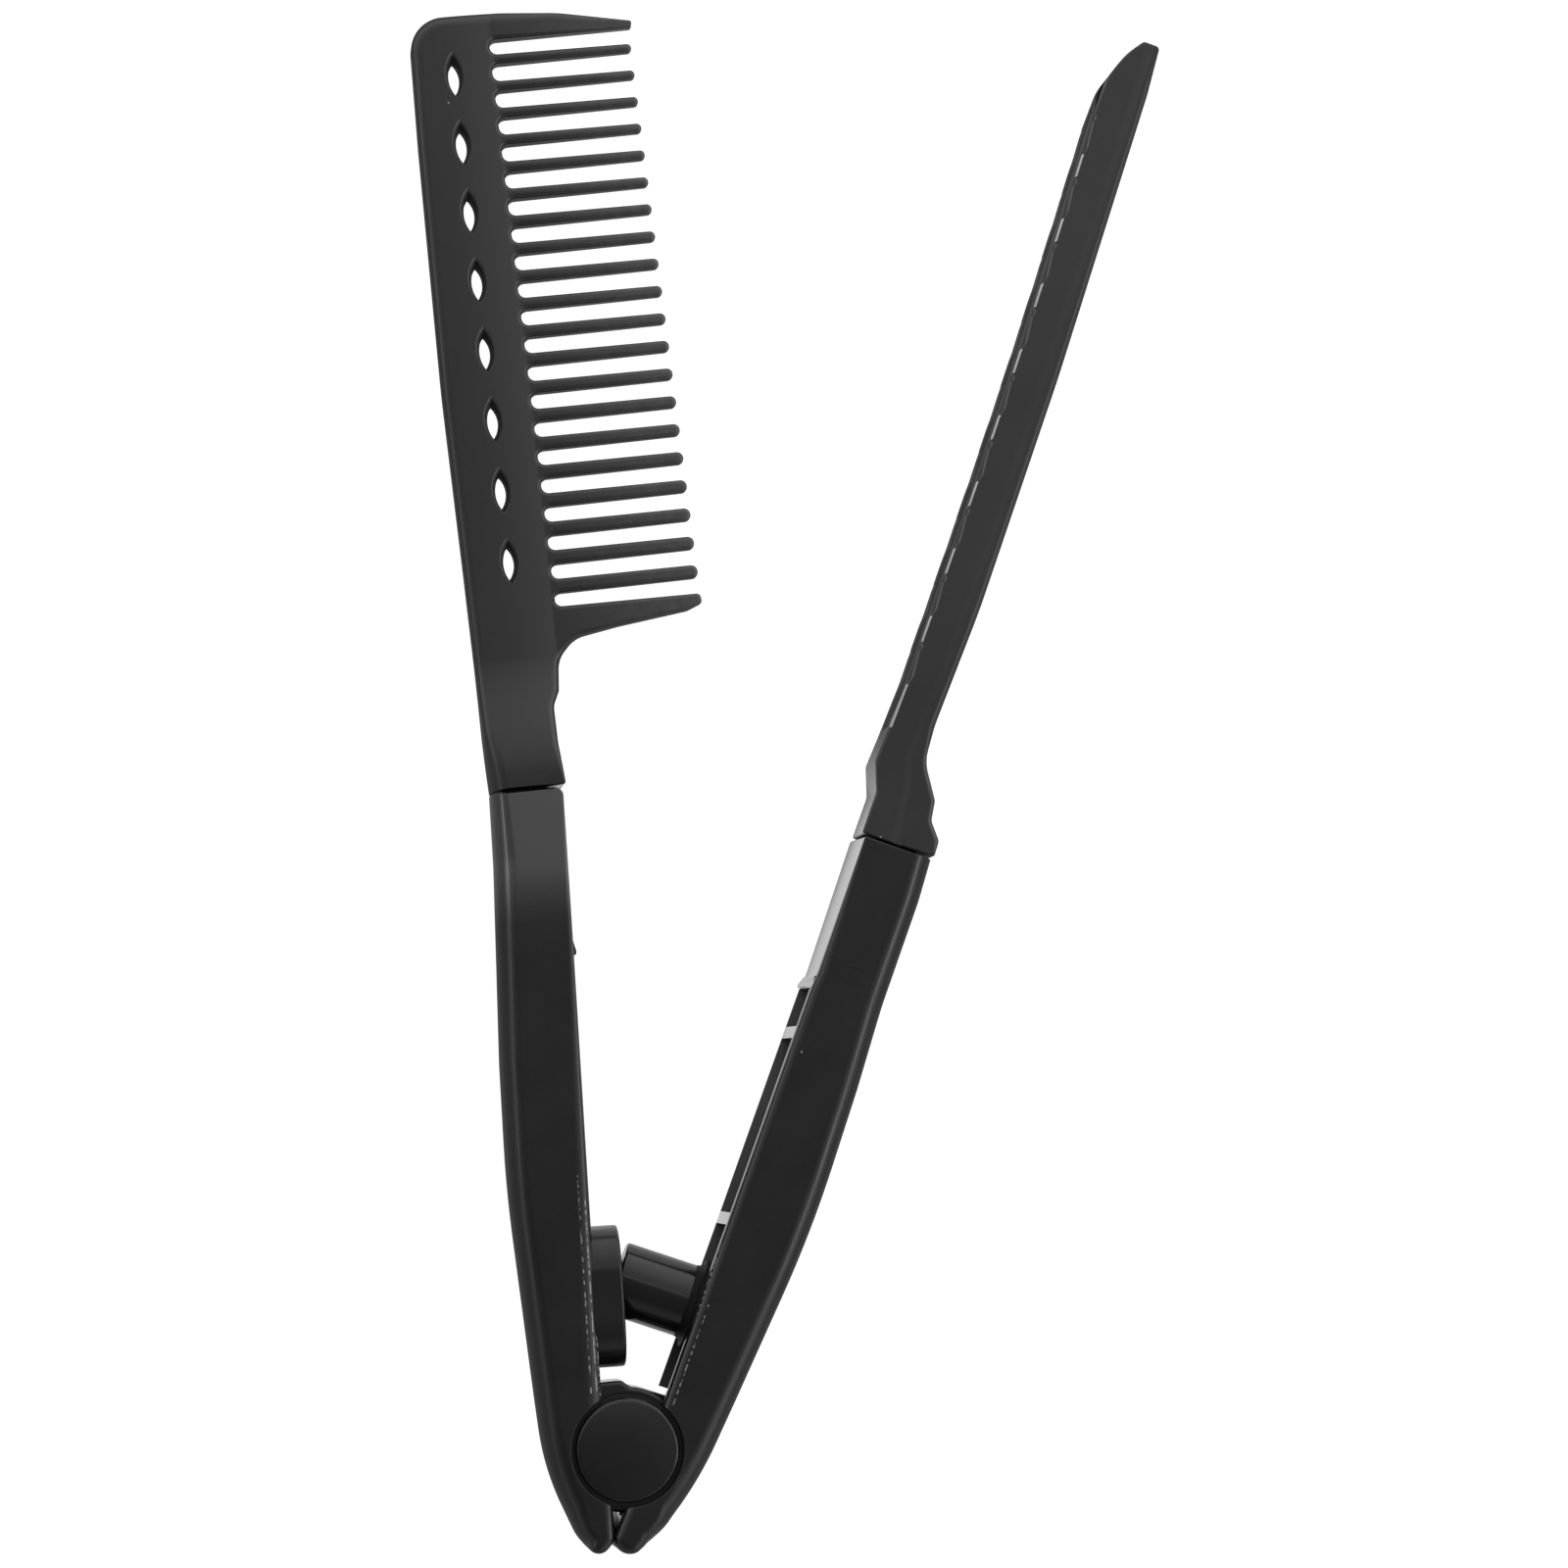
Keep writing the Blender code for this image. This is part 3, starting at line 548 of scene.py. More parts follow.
combHead = {
    "look": {
        "grey": 0.015, "rough": (0.30, 0.38), "sides": 0.7, "ior": 1.6,
        "grainSize": 0.35, "edge": 0.15, "dust": 0.3,
        "tips": (3.0, 26.0, 0.045),  # painted sheen: lighter from one u to another, by this much
    },
    "tang": (-8.3, -1.3, 98.0, 110.0, 2.5),
    "seam": 106.3,
    # Half the thickness, as (u, half), across the spine and along the teeth
    "spine": (-8.0, 3.4),
    "slots": (2.6, 2.1),
    "tips": (26.8, 1.0),
    "neckHalf": 6.9,
    "neck": (109.0, 128.0),
    "spineEdge": 1.7,
    "slotRound": 1.2,
}
teeth = {
    "between": 20,
    "firstTip": 225.8,
    "pitch": (4.404, 0.0078),
    "drop": (0.08, 0.0085),
    "width": (1.53, 0.0375),
    "root": (2.0, 0.055),
    "end": (25.1, 0.088),
    "edge": (0.7, 0.55),
}
holes = {
    "count": 8,
    "top": (-4.2, 223.8),
    "lean": 0.09,
    "pitch": (11.164, 0.035),
    # (width, length, up from its centre) at the back, at the front, and where its rim rounds out
    "back": (1.85, 5.1, -0.2),
    "front": (2.0, 6.25, -0.78),
    "rim": (3.6, 8.1, -0.15),
    "rimDepth": 2.4,
    "over": 0.05,  # the rim's rounding ends this far above the face
    "straight": 0.3,  # the back's first part, before the hole widens
    "reach": 4.6,  # the cutter ends this far from the middle plane
    # Lighter grey on the holes' walls: painted light inside the holes
    "wallLook": {"grey": 0.055, "rough": (0.4, 0.5), "gloss": 0.0},
}


def combHalf(u, v):
    # Half the comb's thickness: thick spine, thin teeth, and a neck as deep as the handle
    (u0, spine), (u1, slot), (u2, tip) = combHead["spine"], combHead["slots"], combHead["tips"]
    if u < u1:
        half = spine + (slot - spine) * between(u, u0, u1) ** 2
    else:
        half = slot + (tip - slot) * between(u, u1, u2)
    rise = eased(1 - between(v, *combHead["neck"]))
    return half + (combHead["neckHalf"] - half) * rise


def grown(pair, i):
    # A value that grows a little from one tooth to the next
    return pair[0] + pair[1] * i


def toothCorners(i):
    # Up out of the slot below it, round its tip, and back to the slot above it
    half = grown(teeth["width"], i) / 2
    tip = teeth["firstTip"] - grown(teeth["pitch"], i) * i
    root = tip - grown(teeth["drop"], i)
    start, end = grown(teeth["root"], i), grown(teeth["end"], i)
    edge = teeth["edge"]
    return [
        (start, root - half, combHead["slotRound"], edge),
        (end, tip - half, half * 0.95, edge),
        (end, tip + half, half * 0.95, edge),
        (start, root + half, combHead["slotRound"], edge),
    ]


def combCorners():
    seam, slotRound, spineEdge = combHead["seam"] + gap, combHead["slotRound"], combHead["spineEdge"]
    edge = teeth["edge"]
    neck = [
        (-10.6, seam, 0, ((2.7, 0.3), 5.0)),
        (1.5, seam, 0.5, 0.35),
        (1.0, 113.5, 8, 1.1),
        (1.05, 119.6, 3, 1.1),
        (2.2, 122.0, 1.2, 1.1),
        (2.75, 127.2, 5, 1.1),
        (5.7, 130.4, 5, 0.9),
        (13.0, 131.65, 20, 0.7),
        (24.4, 133.05, 3, 0.6),
        (27.0, 134.1, 0.75, 0.6),
        (26.8, 135.75, 0.75, 0.6),
        (3.1, 135.7, slotRound, edge),
    ]
    middle = []
    for i in reversed(range(teeth["between"])):
        middle += toothCorners(i)
    top = [
        (2.0, 228.95, slotRound, edge),
        (25.4, 229.05, 0.4, 0.25),
        (25.6, 230.3, 0.4, 0.25),
        (14.0, 232.6, 30, (1.3, 0.9)),
        (4.0, 233.4, 30, (1.9, 1.2)),
        (-10.7, 233.25, 5.6, (1.9, spineEdge)),
        (-11.2, 212.0, 60, spineEdge),
        (-11.6, 172.0, 200, spineEdge),
        (-11.1, 142.0, 100, spineEdge),
        (-10.75, 116.0, 20, spineEdge),
        (-10.7, 110.5, 0, (2.5, 4.0)),
    ]
    return neck + middle + top


def lens(width, height, steps=14):
    # Two arcs that meet in a point above and below
    a, b = width / 2, height / 2
    radius = (a * a + b * b) / (2 * a)
    sweep = asin(b / radius)
    side = []
    for step in range(steps):
        angle = -sweep + 2 * sweep * step / steps
        side.append((radius * cos(angle) - radius + a, radius * sin(angle)))
    return side + [(-u, -v) for u, v in side]


def mixed(first, second, part):
    return [a + (b - a) * part for a, b in zip(first, second)]


def holePlace(i):
    u, v = holes["top"]
    return u + holes["lean"] * i, v - grown(holes["pitch"], i) * i


def inHole(face):
    # On a hole's wall or its rounded rim, and not on the flat of the spine
    width, length, shift = holes["rim"]
    for i in range(holes["count"]):
        u, v = holePlace(i)
        aside, along = abs(face.center.x / mm - u), abs(face.center.y / mm - v)
        if aside < width / 2 + 0.1 and along < length / 2 and abs(face.normal.z) < 0.98:
            return 1
    return 0


def holeCutter(i):
    # A pointed funnel that widens toward the front, where its rim is rounded into the face
    u, v = holePlace(i)
    face = combHalf(u, v)
    tilt = (combHalf(u + 1, v) - combHalf(u - 1, v)) / 2
    levels = [(-holes["reach"], 0, 0), (holes["straight"] - face, 0, 0)]
    for out, down in quarter(12):
        height = face + holes["over"] - holes["rimDepth"] * down
        levels.append((height, (height + face) / (2 * face), out))
    levels.append((holes["reach"], 1, 1))
    rings = []
    for height, up, out in levels:
        width, length, shift = mixed(mixed(holes["back"], holes["front"], up), holes["rim"], out)
        rings.append([(u + a, v + shift + b, height + tilt * a * out) for a, b in lens(width, length)])
    return loft(rings)


def makeCombHead():
    shape = roundedPlate(combCorners(), combHead["neckHalf"], 5)
    splitAt(shape, 0, evenly(combHead["spine"][0], combHead["slots"][0], 12))
    splitAt(shape, 1, evenly(*combHead["neck"], 14))
    for vert in shape.verts:
        half = combHalf(vert.co.x / mm, vert.co.y / mm)
        side = 1 if vert.co.z > 0 else -1
        vert.co.z -= side * (combHead["neckHalf"] - half) * mm
    head = addSolid("combHead", shape, "comb_arm")
    join(head, tangBox(combHead["tang"]))
    cut(head, *[holeCutter(i) for i in range(holes["count"])])
    plastics = [
        mouldedPlastic("combBlack", combHead["look"]),
        # the holes' walls, lighter grey as painted light
        mouldedPlastic("holeWallBlack", combHead["look"] | holes["wallLook"]),
    ]
    dress(head, "comb_arm", "comb_head", plastics, inHole)


# Handles

handles = {
    "look": {
        "grey": 0.008, "rough": (0.26, 0.34), "sides": 0.6, "gloss": 1.0, "ior": 1.55,
        "grain": 0.6, "grainSize": 0.4, "edge": 0.2, "dust": 0.35,
    },
    "depth": 16.0,
    "edge": 1.5,
    "combEdge": (3.0, 1.7),
    "outerEdge": (3.4, 5.4),
    "slant": 0.65,  # the blade handle's inner side leans back by this much toward the front
    "slantTo": (6.5, 8.5),  # and less from here on
    "fall": (80.0, 1.3),  # the comb handle's front falls from here to the seam, by this much
    "sideWall": 1.85,
    "outerWall": 2.0,
    "inside": 6.0,  # the channels reach this far through the inner face
    "channelTop": 79.2,
    "combNub": ((2.6, 0.0), (0.5, 0.5), (0.02, 0.35), (-0.1, -1.2), (2.6, -1.2)),
    "bladeNub": ((2.0, 0.0), (0.7, 0.45), (0.2, 0.45), (-0.3, -1.2), (2.0, -1.2)),
    "bladeNubFront": -0.3,  # the share of its height at its front end
    "ribTops": (72.6, 40.9),
    "ribHeight": 2.0,
    "combSeam": 106.3,
    "bladeSeam": 105.1,
    "combFace": ((-3.3, 6.0), (0.95, 106.3)),  # two points on the inner face
    "bladeFace": ((2.45, 8.0), (4.1, 79.0)),
    "combEnd": 11.8,
    "bladeEnd": 10.9,
}
halfDepth = handles["depth"] / 2
handles["combLook"] = {
    "polish": (85.0, 93.0),
    # Lighter specks beside the inner face: scuff marks and painted glints
    "scuffsAndGlints": {
        "body": "comb_arm", "face": handles["combFace"], "inward": -1, "width": 0.11, "lift": 0.3,
        "lines": ((1.7, 9.0, 44.0), (0.75, 9.0, 40.0), (0.2, 9.0, 24.0)),
    },
}
handles["bladeLook"] = {
    # Lighter specks beside the inner face: scuff marks and painted glints
    "scuffsAndGlints": {
        "body": "blade_arm", "face": handles["bladeFace"], "inward": 1, "width": 0.11, "lift": 0.25,
        "lines": ((2.1, 4.0, 26.0), (0.9, 24.0, 36.0)),
    },
}
handles["channelLook"] = {"grey": 0.12, "rough": (0.5, 0.6), "gloss": 0.0}  # painted light: a lighter grey on the channel's back wall
barrel = {
    "radius": 10.0,
    "bore": 10.5,
    "capSeat": 9.05,
    "edge": 0.7,
    "earTop": 5.2,  # above the middle plane
    "knuckleHalf": 2.1,
    "web": 6.0,
    "shoulder": 11.05,
    "window": (8.5, 11.05),
    "windowSides": (-1.0, 5.5),
    "sunk": 0.15,  # where two shapes meet flush, one goes this far into the other
    "pinHole": 3.3,
    "past": 9.5,  # past the handle's face
}


def combHandleCorners():
    outer, inner, seam = handles["outerEdge"], handles["combEdge"], handles["combSeam"]
    return [
        (0.95, seam, 1.4, 0.3),
        (-10.6, seam, 0, ((2.7, -0.3), outer[1])),
        (-11.1, 95.0, 60, outer),
        (-13.5, 63.0, 60, outer),
        (-14.45, 43.0, 200, outer),
        (-13.5, 10.0, 60, outer),
        (-13.05, -2.0, 42, outer),
        (-8.9, -13.55, 8, (2.6, 4.4)),
        (-6.1, -16.6, 1.9, 1.4),
        (-3.4, -14.0, 2.0, handles["edge"]),
        (-3.2, -8.0, 6, handles["edge"]),
        (-3.3, 6.0, 0, inner),
    ]


def bladeHandleCorners():
    outer, inner, seam = handles["outerEdge"], handles["edge"], handles["bladeSeam"]
    return [
        (4.7, seam, 0.5, 0.25),
        (4.42, 82.0, 0, inner),
        (4.1, 79.0, 0, inner),
        (2.45, 8.0, 0, inner),
        (2.1, -8.0, 6, inner),
        (1.65, -14.1, 2.0, inner),
        (4.3, -16.75, 2.6, 1.6),
        (7.05, -13.75, 8, (2.2, 3.2)),
        (9.25, -11.3, 12, (2.8, 4.6)),
        (12.75, -1.3, 60, outer),
        (14.35, 12.7, 60, outer),
        (17.5, 42.0, 200, outer),
        (17.4, 66.0, 60, outer),
        (17.0, 80.0, 60, outer),
        (17.35, 98.0, 40, outer),
        (17.1, seam, 0, ((-outer[0], -0.3), outer[1])),
    ]


def innerFace(ends, v):
    (u0, v0), (u1, v1) = ends
    return u0 + (u1 - u0) * (v - v0) / (v1 - v0)


def fallToSeam(shape):
    # The comb handle's front falls a little toward its seam, most along its inner side
    start, fall = handles["fall"]
    end = handles["combSeam"]
    splitAt(shape, 1, evenly(start, end, 12)[:-1])
    for vert in shape.verts:
        if vert.co.z > 0:
            part = between(vert.co.y / mm, start, end)
            share = 0.6 + 0.4 * between(vert.co.x / mm, -11.0, 0.0)
            vert.co.z *= 1 - share * part * (2 - part) * part * fall / halfDepth
    return shape


def slantInside(shape):
    # The blade handle's inner side leans back toward the front, over its first few millimetres
    for vert in shape.verts:
        share = 1 - between(vert.co.x / mm, *handles["slantTo"])
        up = (vert.co.z / mm + halfDepth) / (2 * halfDepth)
        vert.co.x += share * handles["slant"] * up * mm
    return shape


def pocket(corners, side, low, high):
    # The hollow between the side walls, from past the inner face to the outer wall
    points, edges = outline([(u, v, radius, 0) for u, v, radius, edge in corners])
    thick, inside = handles["outerWall"], handles["inside"]
    wall = [p for p in inset(points, [thick] * len(points)) if side * p.x > inside]
    wall.sort(key=lambda p: p.y)
    heights = [low] + [p.y for p in wall if low < p.y < high] + [high]
    far = []
    for v in heights:
        for a, b in zip(wall, wall[1:]):
            if a.y <= v <= b.y:
                part = (v - a.y) / max(1e-9, b.y - a.y)
                far.append(Vector((a.x + (b.x - a.x) * part, v)))
                break
    near = [Vector((-side * inside, v)) for v in (high, low)]
    half = halfDepth - handles["sideWall"]
    return prism(far + near, -half, half)


def pockets(corners, side, end):
    tops = (handles["channelTop"],) + tuple(top - handles["ribHeight"] for top in handles["ribTops"])
    ends = handles["ribTops"] + (end,)
    return [pocket(corners, side, low, high) for high, low in zip(tops, ends)]


def nub(face, side, profile, front=1.0):
    # A small wedge across the inner face that rises toward the open channel, as (above the
    # channel, proud of the face) points. At its front end it stands proud by this share
    points = []
    for above, proud in profile:
        v = handles["channelTop"] + above
        points.append(Vector((innerFace(face, v) - side * proud, v)))
    half = halfDepth - handles["edge"]
    shape = prism(points, -half, half)
    for vert in shape.verts:
        base = innerFace(face, vert.co.y / mm)
        proud = side * (base - vert.co.x / mm)
        if vert.co.z > 0 and proud > 0:
            vert.co.x = (base - side * proud * front) * mm
    return shape


def barrelArc(start, sweep, steps=96):
    turns = [radians(start + sweep * step / steps) for step in range(steps + 1)]
    return [Vector((barrel["radius"] * cos(a), barrel["radius"] * sin(a))) for a in turns]


def earOutline():
    # Round, with a raised shoulder toward the comb handle
    top, web = barrel["shoulder"], barrel["web"]
    corners = ((1.1, 10.35), (0.4, 10.95), (-0.6, top), (-web, top))
    end = degrees(acos(-web / barrel["radius"]))
    return [Vector(p) for p in corners] + barrelArc(end, 360 + 80 - end)


def knuckleOutline():
    # Round, with a flat shoulder toward the blade handle
    end = degrees(acos(barrel["web"] / barrel["radius"]))
    return [Vector((barrel["web"], barrel["radius"]))] + barrelArc(90, 270 + end)


def windowCutter():
    # Opens the channel's lower end above the knuckle, and the back wall further down
    low, high = barrel["window"]
    back, front, ears = -halfDepth - 1, barrel["earTop"] + 0.2, barrel["earTop"]
    floor = barrel["radius"] - barrel["sunk"]
    profile = [(low, back), (high, back), (high, front), (floor, front), (floor, -ears), (low, -ears)]
    return loft([across(profile, u) for u in barrel["windowSides"]])


def makeCombHandle():
    corners, past = combHandleCorners(), barrel["past"]
    body = fallToSeam(roundedPlate(corners, halfDepth))
    handle = addSolid("combHandle", body, "comb_arm")
    join(handle, nub(handles["combFace"], -1, handles["combNub"]))
    reach = barrel["earTop"] + barrel["sunk"]
    ears = earOutline()
    join(handle, roundedPrism(ears, [(barrel["edge"],) * 2] * len(ears), reach))
    cut(handle, *pockets(corners, -1, handles["combEnd"]))
    slotHalf = barrel["knuckleHalf"] + gap
    cut(handle, disc(barrel["bore"], -slotHalf, slotHalf))
    top, seat = barrel["earTop"], barrel["capSeat"]
    cut(handle, disc(seat, top, past), disc(seat, -past, -top))
    cut(handle, disc(barrel["pinHole"], -past, past), tangBox(combHead["tang"], gap))
    material = mouldedPlastic("combHandleBlack", handles["look"] | handles["combLook"])
    dress(handle, "comb_arm", "comb_handle", [material])


def makeBladeHandle():
    corners, past = bladeHandleCorners(), barrel["past"]
    body = slantInside(roundedPlate(corners, halfDepth))
    handle = addSolid("bladeHandle", body, "blade_arm")
    wedge = nub(handles["bladeFace"], 1, handles["bladeNub"], handles["bladeNubFront"])
    join(handle, slantInside(wedge))
    cut(handle, *pockets(corners, 1, handles["bladeEnd"]))
    wall, half = halfDepth - handles["sideWall"], barrel["knuckleHalf"]
    bore, seat = barrel["bore"], barrel["capSeat"]
    cut(handle, disc(bore, half - 0.1, wall), disc(bore, -wall, 0.1 - half))
    cut(handle, disc(seat, half + 1, past), disc(seat, -past, -half - 1))
    cut(handle, windowCutter())
    join(handle, prism(knuckleOutline(), -half, half))
    cut(handle, disc(barrel["pinHole"], -past, past), tangBox(blade["tang"], gap))
    plastics = [
        mouldedPlastic("bladeHandleBlack", handles["look"] | handles["bladeLook"]),
        mouldedPlastic("channelBlack", handles["look"] | handles["channelLook"]),
    ]

    # Faces on the channel's back wall take the lighter grey, painted light
    def inChannel(face):
        return int(face.normal.z > 0.9 and abs(face.center.z / mm + wall) < 0.1)

    dress(handle, "blade_arm", "blade_handle", plastics, inChannel)


# Hinge pin and caps

caps = {
    "look": {
        "grey": 0.010, "rough": (0.20, 0.26), "sides": 0.5, "ior": 1.55,
        "grain": 0.25, "dust": 0.0, "wear": 0.0,
    },
    "rimLook": {"rough": (0.09, 0.12), "sides": 1.0},
    "radius": 8.27,
    "pin": 3.0,
    "pinEnd": (0.1, 0.3),  # short of the back ear's face, and its chamfer
    "top": 8.2,  # above the middle plane
    "back": -7.8,
    "round": 0.7,
    "dome": 0.4,
}


def capFace(top, steps=8):
    # The rim's rounding, from the side up to the face, and the low dome inside it
    profile = []
    for inward, down in quarter(steps)[:-1]:
        drop = caps["round"] * down + caps["dome"]
        profile.append((caps["radius"] - caps["round"] * inward, top - drop))
    inner = caps["radius"] - caps["round"]
    for step in range(steps):
        radius = inner * (1 - step / steps)
        profile.append((radius, top - caps["dome"] * (radius / inner) ** 2))
    return profile


def onRim(face):
    return int(face.center.xy.length > (caps["radius"] - caps["round"]) * mm)


def makeHingePieces():
    plastics = [
        mouldedPlastic("hingeBlack", caps["look"]),
        mouldedPlastic("hingeRimBlack", caps["look"] | caps["rimLook"]),
    ]
    ears, pin, under = barrel["earTop"], caps["pin"], barrel["earTop"] + gap
    short, chamfer = caps["pinEnd"]
    shaft = [(pin - chamfer, short - ears), (pin, short + chamfer - ears), (pin, under)]
    back = [(radius, -height) for radius, height in reversed(capFace(-caps["back"]))]
    rim = caps["radius"]
    pieces = (
        ("hingePin", "hinge_pin", shaft + [(rim, under)] + capFace(caps["top"])),
        ("hingeCapBack", "hinge_cap_back", back + [(rim, -under)]),
    )
    for name, node, profile in pieces:
        solid = addSolid(name, roundAbout(profile, 128), "comb_arm")
        dress(solid, "comb_arm", node, plastics, onRim)


# Blade

blade = {
    "look": {
        "grey": 0.017, "rough": (0.32, 0.40), "sides": 0.8, "gloss": 0.7, "ior": 1.65,
        "grainSize": 0.35, "edge": 0.15, "dust": 0.3,
    },
    "depth": 14.6,
    "plate": 3.0,
    "tang": (7.5, 14.5, 97.0, 108.5, 2.5),
    "crest": 3.95,
    "bow": 0.7,
    "bowed": (126.0, 238.0),
    "slot": (123.4, 236.8),
    "slotCutter": (-5, 25),  # past the blade on both sides
    "lip": (1.6, 2.3),  # rounding of the plates' inner edges: in from the edge, and deep
    "lipFade": (0.3, 5.0),  # where it starts from the slot's ends, and where it is full
    "outerEdge": (1.5, 1.5),
    # (past the crease, deep), with the cutter's own top above the face
    "groove": (
        (-0.9, -2.0), (-0.9, 0.0), (0.1, 0.1), (0.8, 0.24), (1.3, 0.24), (2.2, 0.0), (2.2, -2.0),
    ),
}
notches = {
    "count": 9,
    "top": 229.5,
    "pitch": (11.15, 0.0407),
    "depth": (0.5, 0.25, 0.62),  # at the step, just past it, and at the far end
    "step": (0.8, 1.15),
    "length": 5.6,
    "ramp": 1.7,
    "behind": 0.15,  # the share of their depth that reaches the blade's back
    # The proud front edges get a painted highlight: a light grey band this wide
    "highlightBand": 0.3,
    "highlightLook": {"grey": 0.55, "rough": (0.2, 0.3), "gloss": 1.0},
}
# The line on the blade's faces where the raised inner part ends, as (u, v)
crease = (
    (9.75, 104.0), (9.6, 111.0), (9.2, 114.6), (8.1, 118.6), (8.2, 126.0), (8.9, 136.0),
    (9.5, 158.0), (9.6, 196.0), (9.3, 246.0),
)


def crest(v):
    # The inner edge bows a little away from the comb in the middle of its length
    return blade["crest"] + blade["bow"] * sin(pi * between(v, *blade["bowed"]))


def notchCorners():
    # Each notch steps in on the tip side and ramps out again toward the handle
    step, shallow, deep = notches["depth"]
    stepEnd, past = notches["step"]
    points = []
    for i in range(notches["count"]):
        v = notches["top"] - grown(notches["pitch"], i) * i
        low = v - notches["length"]
        u, out = crest(v), low - notches["ramp"]
        points += [
            (u, v + 0.15, 0, 0.3),
            (u + step, v - 0.15, 0.2, 0.1),
            (u + step, v - stepEnd, 0.3, 0.1),
            (u + shallow, v - past, 0.3, 0.2),
            (crest(low) + deep, low, 1.5, 0.2),
            (crest(out), out, 1.5, 0.3),
        ]
    return points


def bladeCorners():
    seam, outer = handles["bladeSeam"] + gap, blade["outerEdge"]
    tip = [
        (11.55, 236.0, 30, outer),
        (10.95, 243.6, 0.7, 0.5),
        (8.15, 243.6, 0.6, 0.4),
        (6.0, 240.7, 12, 0.4),
        (4.4, 236.4, 8, 0.3),
    ]
    foot = [
        (3.6, 123.1, 5, 0.4),
        (3.15, 117.2, 2, 0.5),
        (4.9, 112.4, 2, 0.5),
        (4.75, seam, 0.4, 0.35),
        (17.1, seam, 0.5, 0.4),
        (17.1, 108.2, 1.4, 0.9),
        (14.9, 110.9, 1.6, 0.9),
        (14.45, 114.2, 1.6, 0.9),
        (10.9, 119.8, 7, 0.9),
        (10.7, 126.0, 20, outer),
        (11.75, 146.0, 120, outer),
        (12.15, 186.0, 300, outer),
    ]
    return tip + notchCorners() + foot


def panelCutters():
    # Both faces dip softly along the crease, between the raised inner part and the outer edge
    face, shapes = blade["depth"] / 2, []
    for side in (1, -1):
        rings = []
        for u, v in crease:
            rings.append([(u + a, v, side * (face - deep)) for a, deep in blade["groove"]])
        shapes.append(loft(rings))
    return shapes


def lipCutter():
    # Rounds both plates' inner edges inside the slot, less toward the slot's ends
    low, high = blade["slot"]
    start, full = blade["lipFade"]
    half = blade["depth"] / 2 - blade["plate"]
    rings = []
    for step in range(25):
        v = low + start + (high - low - 2 * start) * step / 24
        size = max(0.05, eased(between(min(v - low, high - v), start, full)))
        wide, deep = (length * size for length in blade["lip"])
        upper = [(crest(v) - 3.0, half + deep)]
        upper += [(crest(v) + wide * inward, half + deep * down) for inward, down in quarter(8)]
        ring = upper + [(u, -z) for u, z in reversed(upper)]
        rings.append([(u, v, z) for u, z in ring])
    return loft(rings)


def notchDepth(v):
    marks = [(at, u - crest(at)) for u, at, radius, edge in notchCorners()]
    for (high, first), (low, second) in zip(marks, marks[1:]):
        if low <= v <= high:
            return first + (second - first) * (high - v) / (high - low)
    return 0.0


def fillBehind(shape, half):
    # On the back plate the notches run out toward the blade's back
    depth = blade["depth"] / 2
    splitAt(shape, 2, (-half, -(half + depth) / 2))
    for vert in shape.verts:
        u, v = vert.co.x / mm, vert.co.y / mm
        if u < crest(v) + 1.2:
            part = between(-vert.co.z / mm, half, depth - 0.5)
            vert.co.x -= notchDepth(v) * part * (1 - notches["behind"]) * mm
    return shape


def highlightedEdge(face):
    # The front edge where it stands proud between two notches, painted light grey as a highlight
    u, v = face.center.x / mm, face.center.y / mm
    along = blade["bowed"][0] < v < notches["top"] and notchDepth(v) < 0.05
    edge = notches["highlightBand"]
    return int(along and u < crest(v) + edge and face.center.z / mm > blade["depth"] / 2 - edge)


def makeBlade():
    half = blade["depth"] / 2 - blade["plate"]
    shape = fillBehind(roundedPlate(bladeCorners(), blade["depth"] / 2, 4), half)
    solid = addSolid("slottedBlade", shape, "blade_arm")
    join(solid, tangBox(blade["tang"]))
    cut(solid, box(*blade["slotCutter"], *blade["slot"], -half, half))
    cut(solid, *panelCutters(), lipCutter())
    plastics = [
        mouldedPlastic("bladeBlack", blade["look"]),
        # the proud front edges, light grey as a painted highlight
        mouldedPlastic("bladeEdgeHighlightGrey", blade["look"] | notches["highlightLook"]),
    ]
    dress(solid, "blade_arm", "slotted_blade", plastics, highlightedEdge)


# Spring post and the cup that it enters

post = {
    "look": {
        "grey": 0.011, "rough": (0.10, 0.13), "gloss": 0.0, "ior": 1.52,
        "grain": 0.06, "grainSize": 0.8, "dust": 0.06,
    },
    "radius": 5.95,
    "at": 25.4,
    "tip": -9.9,
    "root": 12.9,
    "round": 0.5,
    "flare": 1.3,
    "flareEnd": 3.1,
    # Darker and duller at the root: painted shade where the post meets the handle
    "rootShadeLook": {"grey": 0.006, "rough": 0.6, "level": 0.15, "patches": (1.5, 0.15)},
}
cup = {
    "look": {
        "grey": 0.013, "rough": (0.20, 0.26), "gloss": 0.3, "ior": 1.5, "grain": 0.2, "dust": 0.08,
    },
    "at": 24.5,
    "half": (11.35, 7.4),
    "bore": (8.9, 6.25),
    "boreEnds": (-6.0, 7.55),
    "height": 4.55,
    "tab": 1.6,
    "tabInset": 0.4,
    "tabReach": (-3.0, -0.3),  # into the comb handle's channel
    "round": 0.5,
    "sunk": 2.2,
}


def obround(long, deep, steps=32):
    # By half its length along v and half its depth, with round ends, as (v, z) points
    reach = long - deep
    ring = []
    for end, offset in ((0, reach), (1, -reach)):
        for step in range(steps + 1):
            angle = pi * (end + step / steps)
            ring.append((deep * sin(angle) + offset, deep * cos(angle)))
    return ring


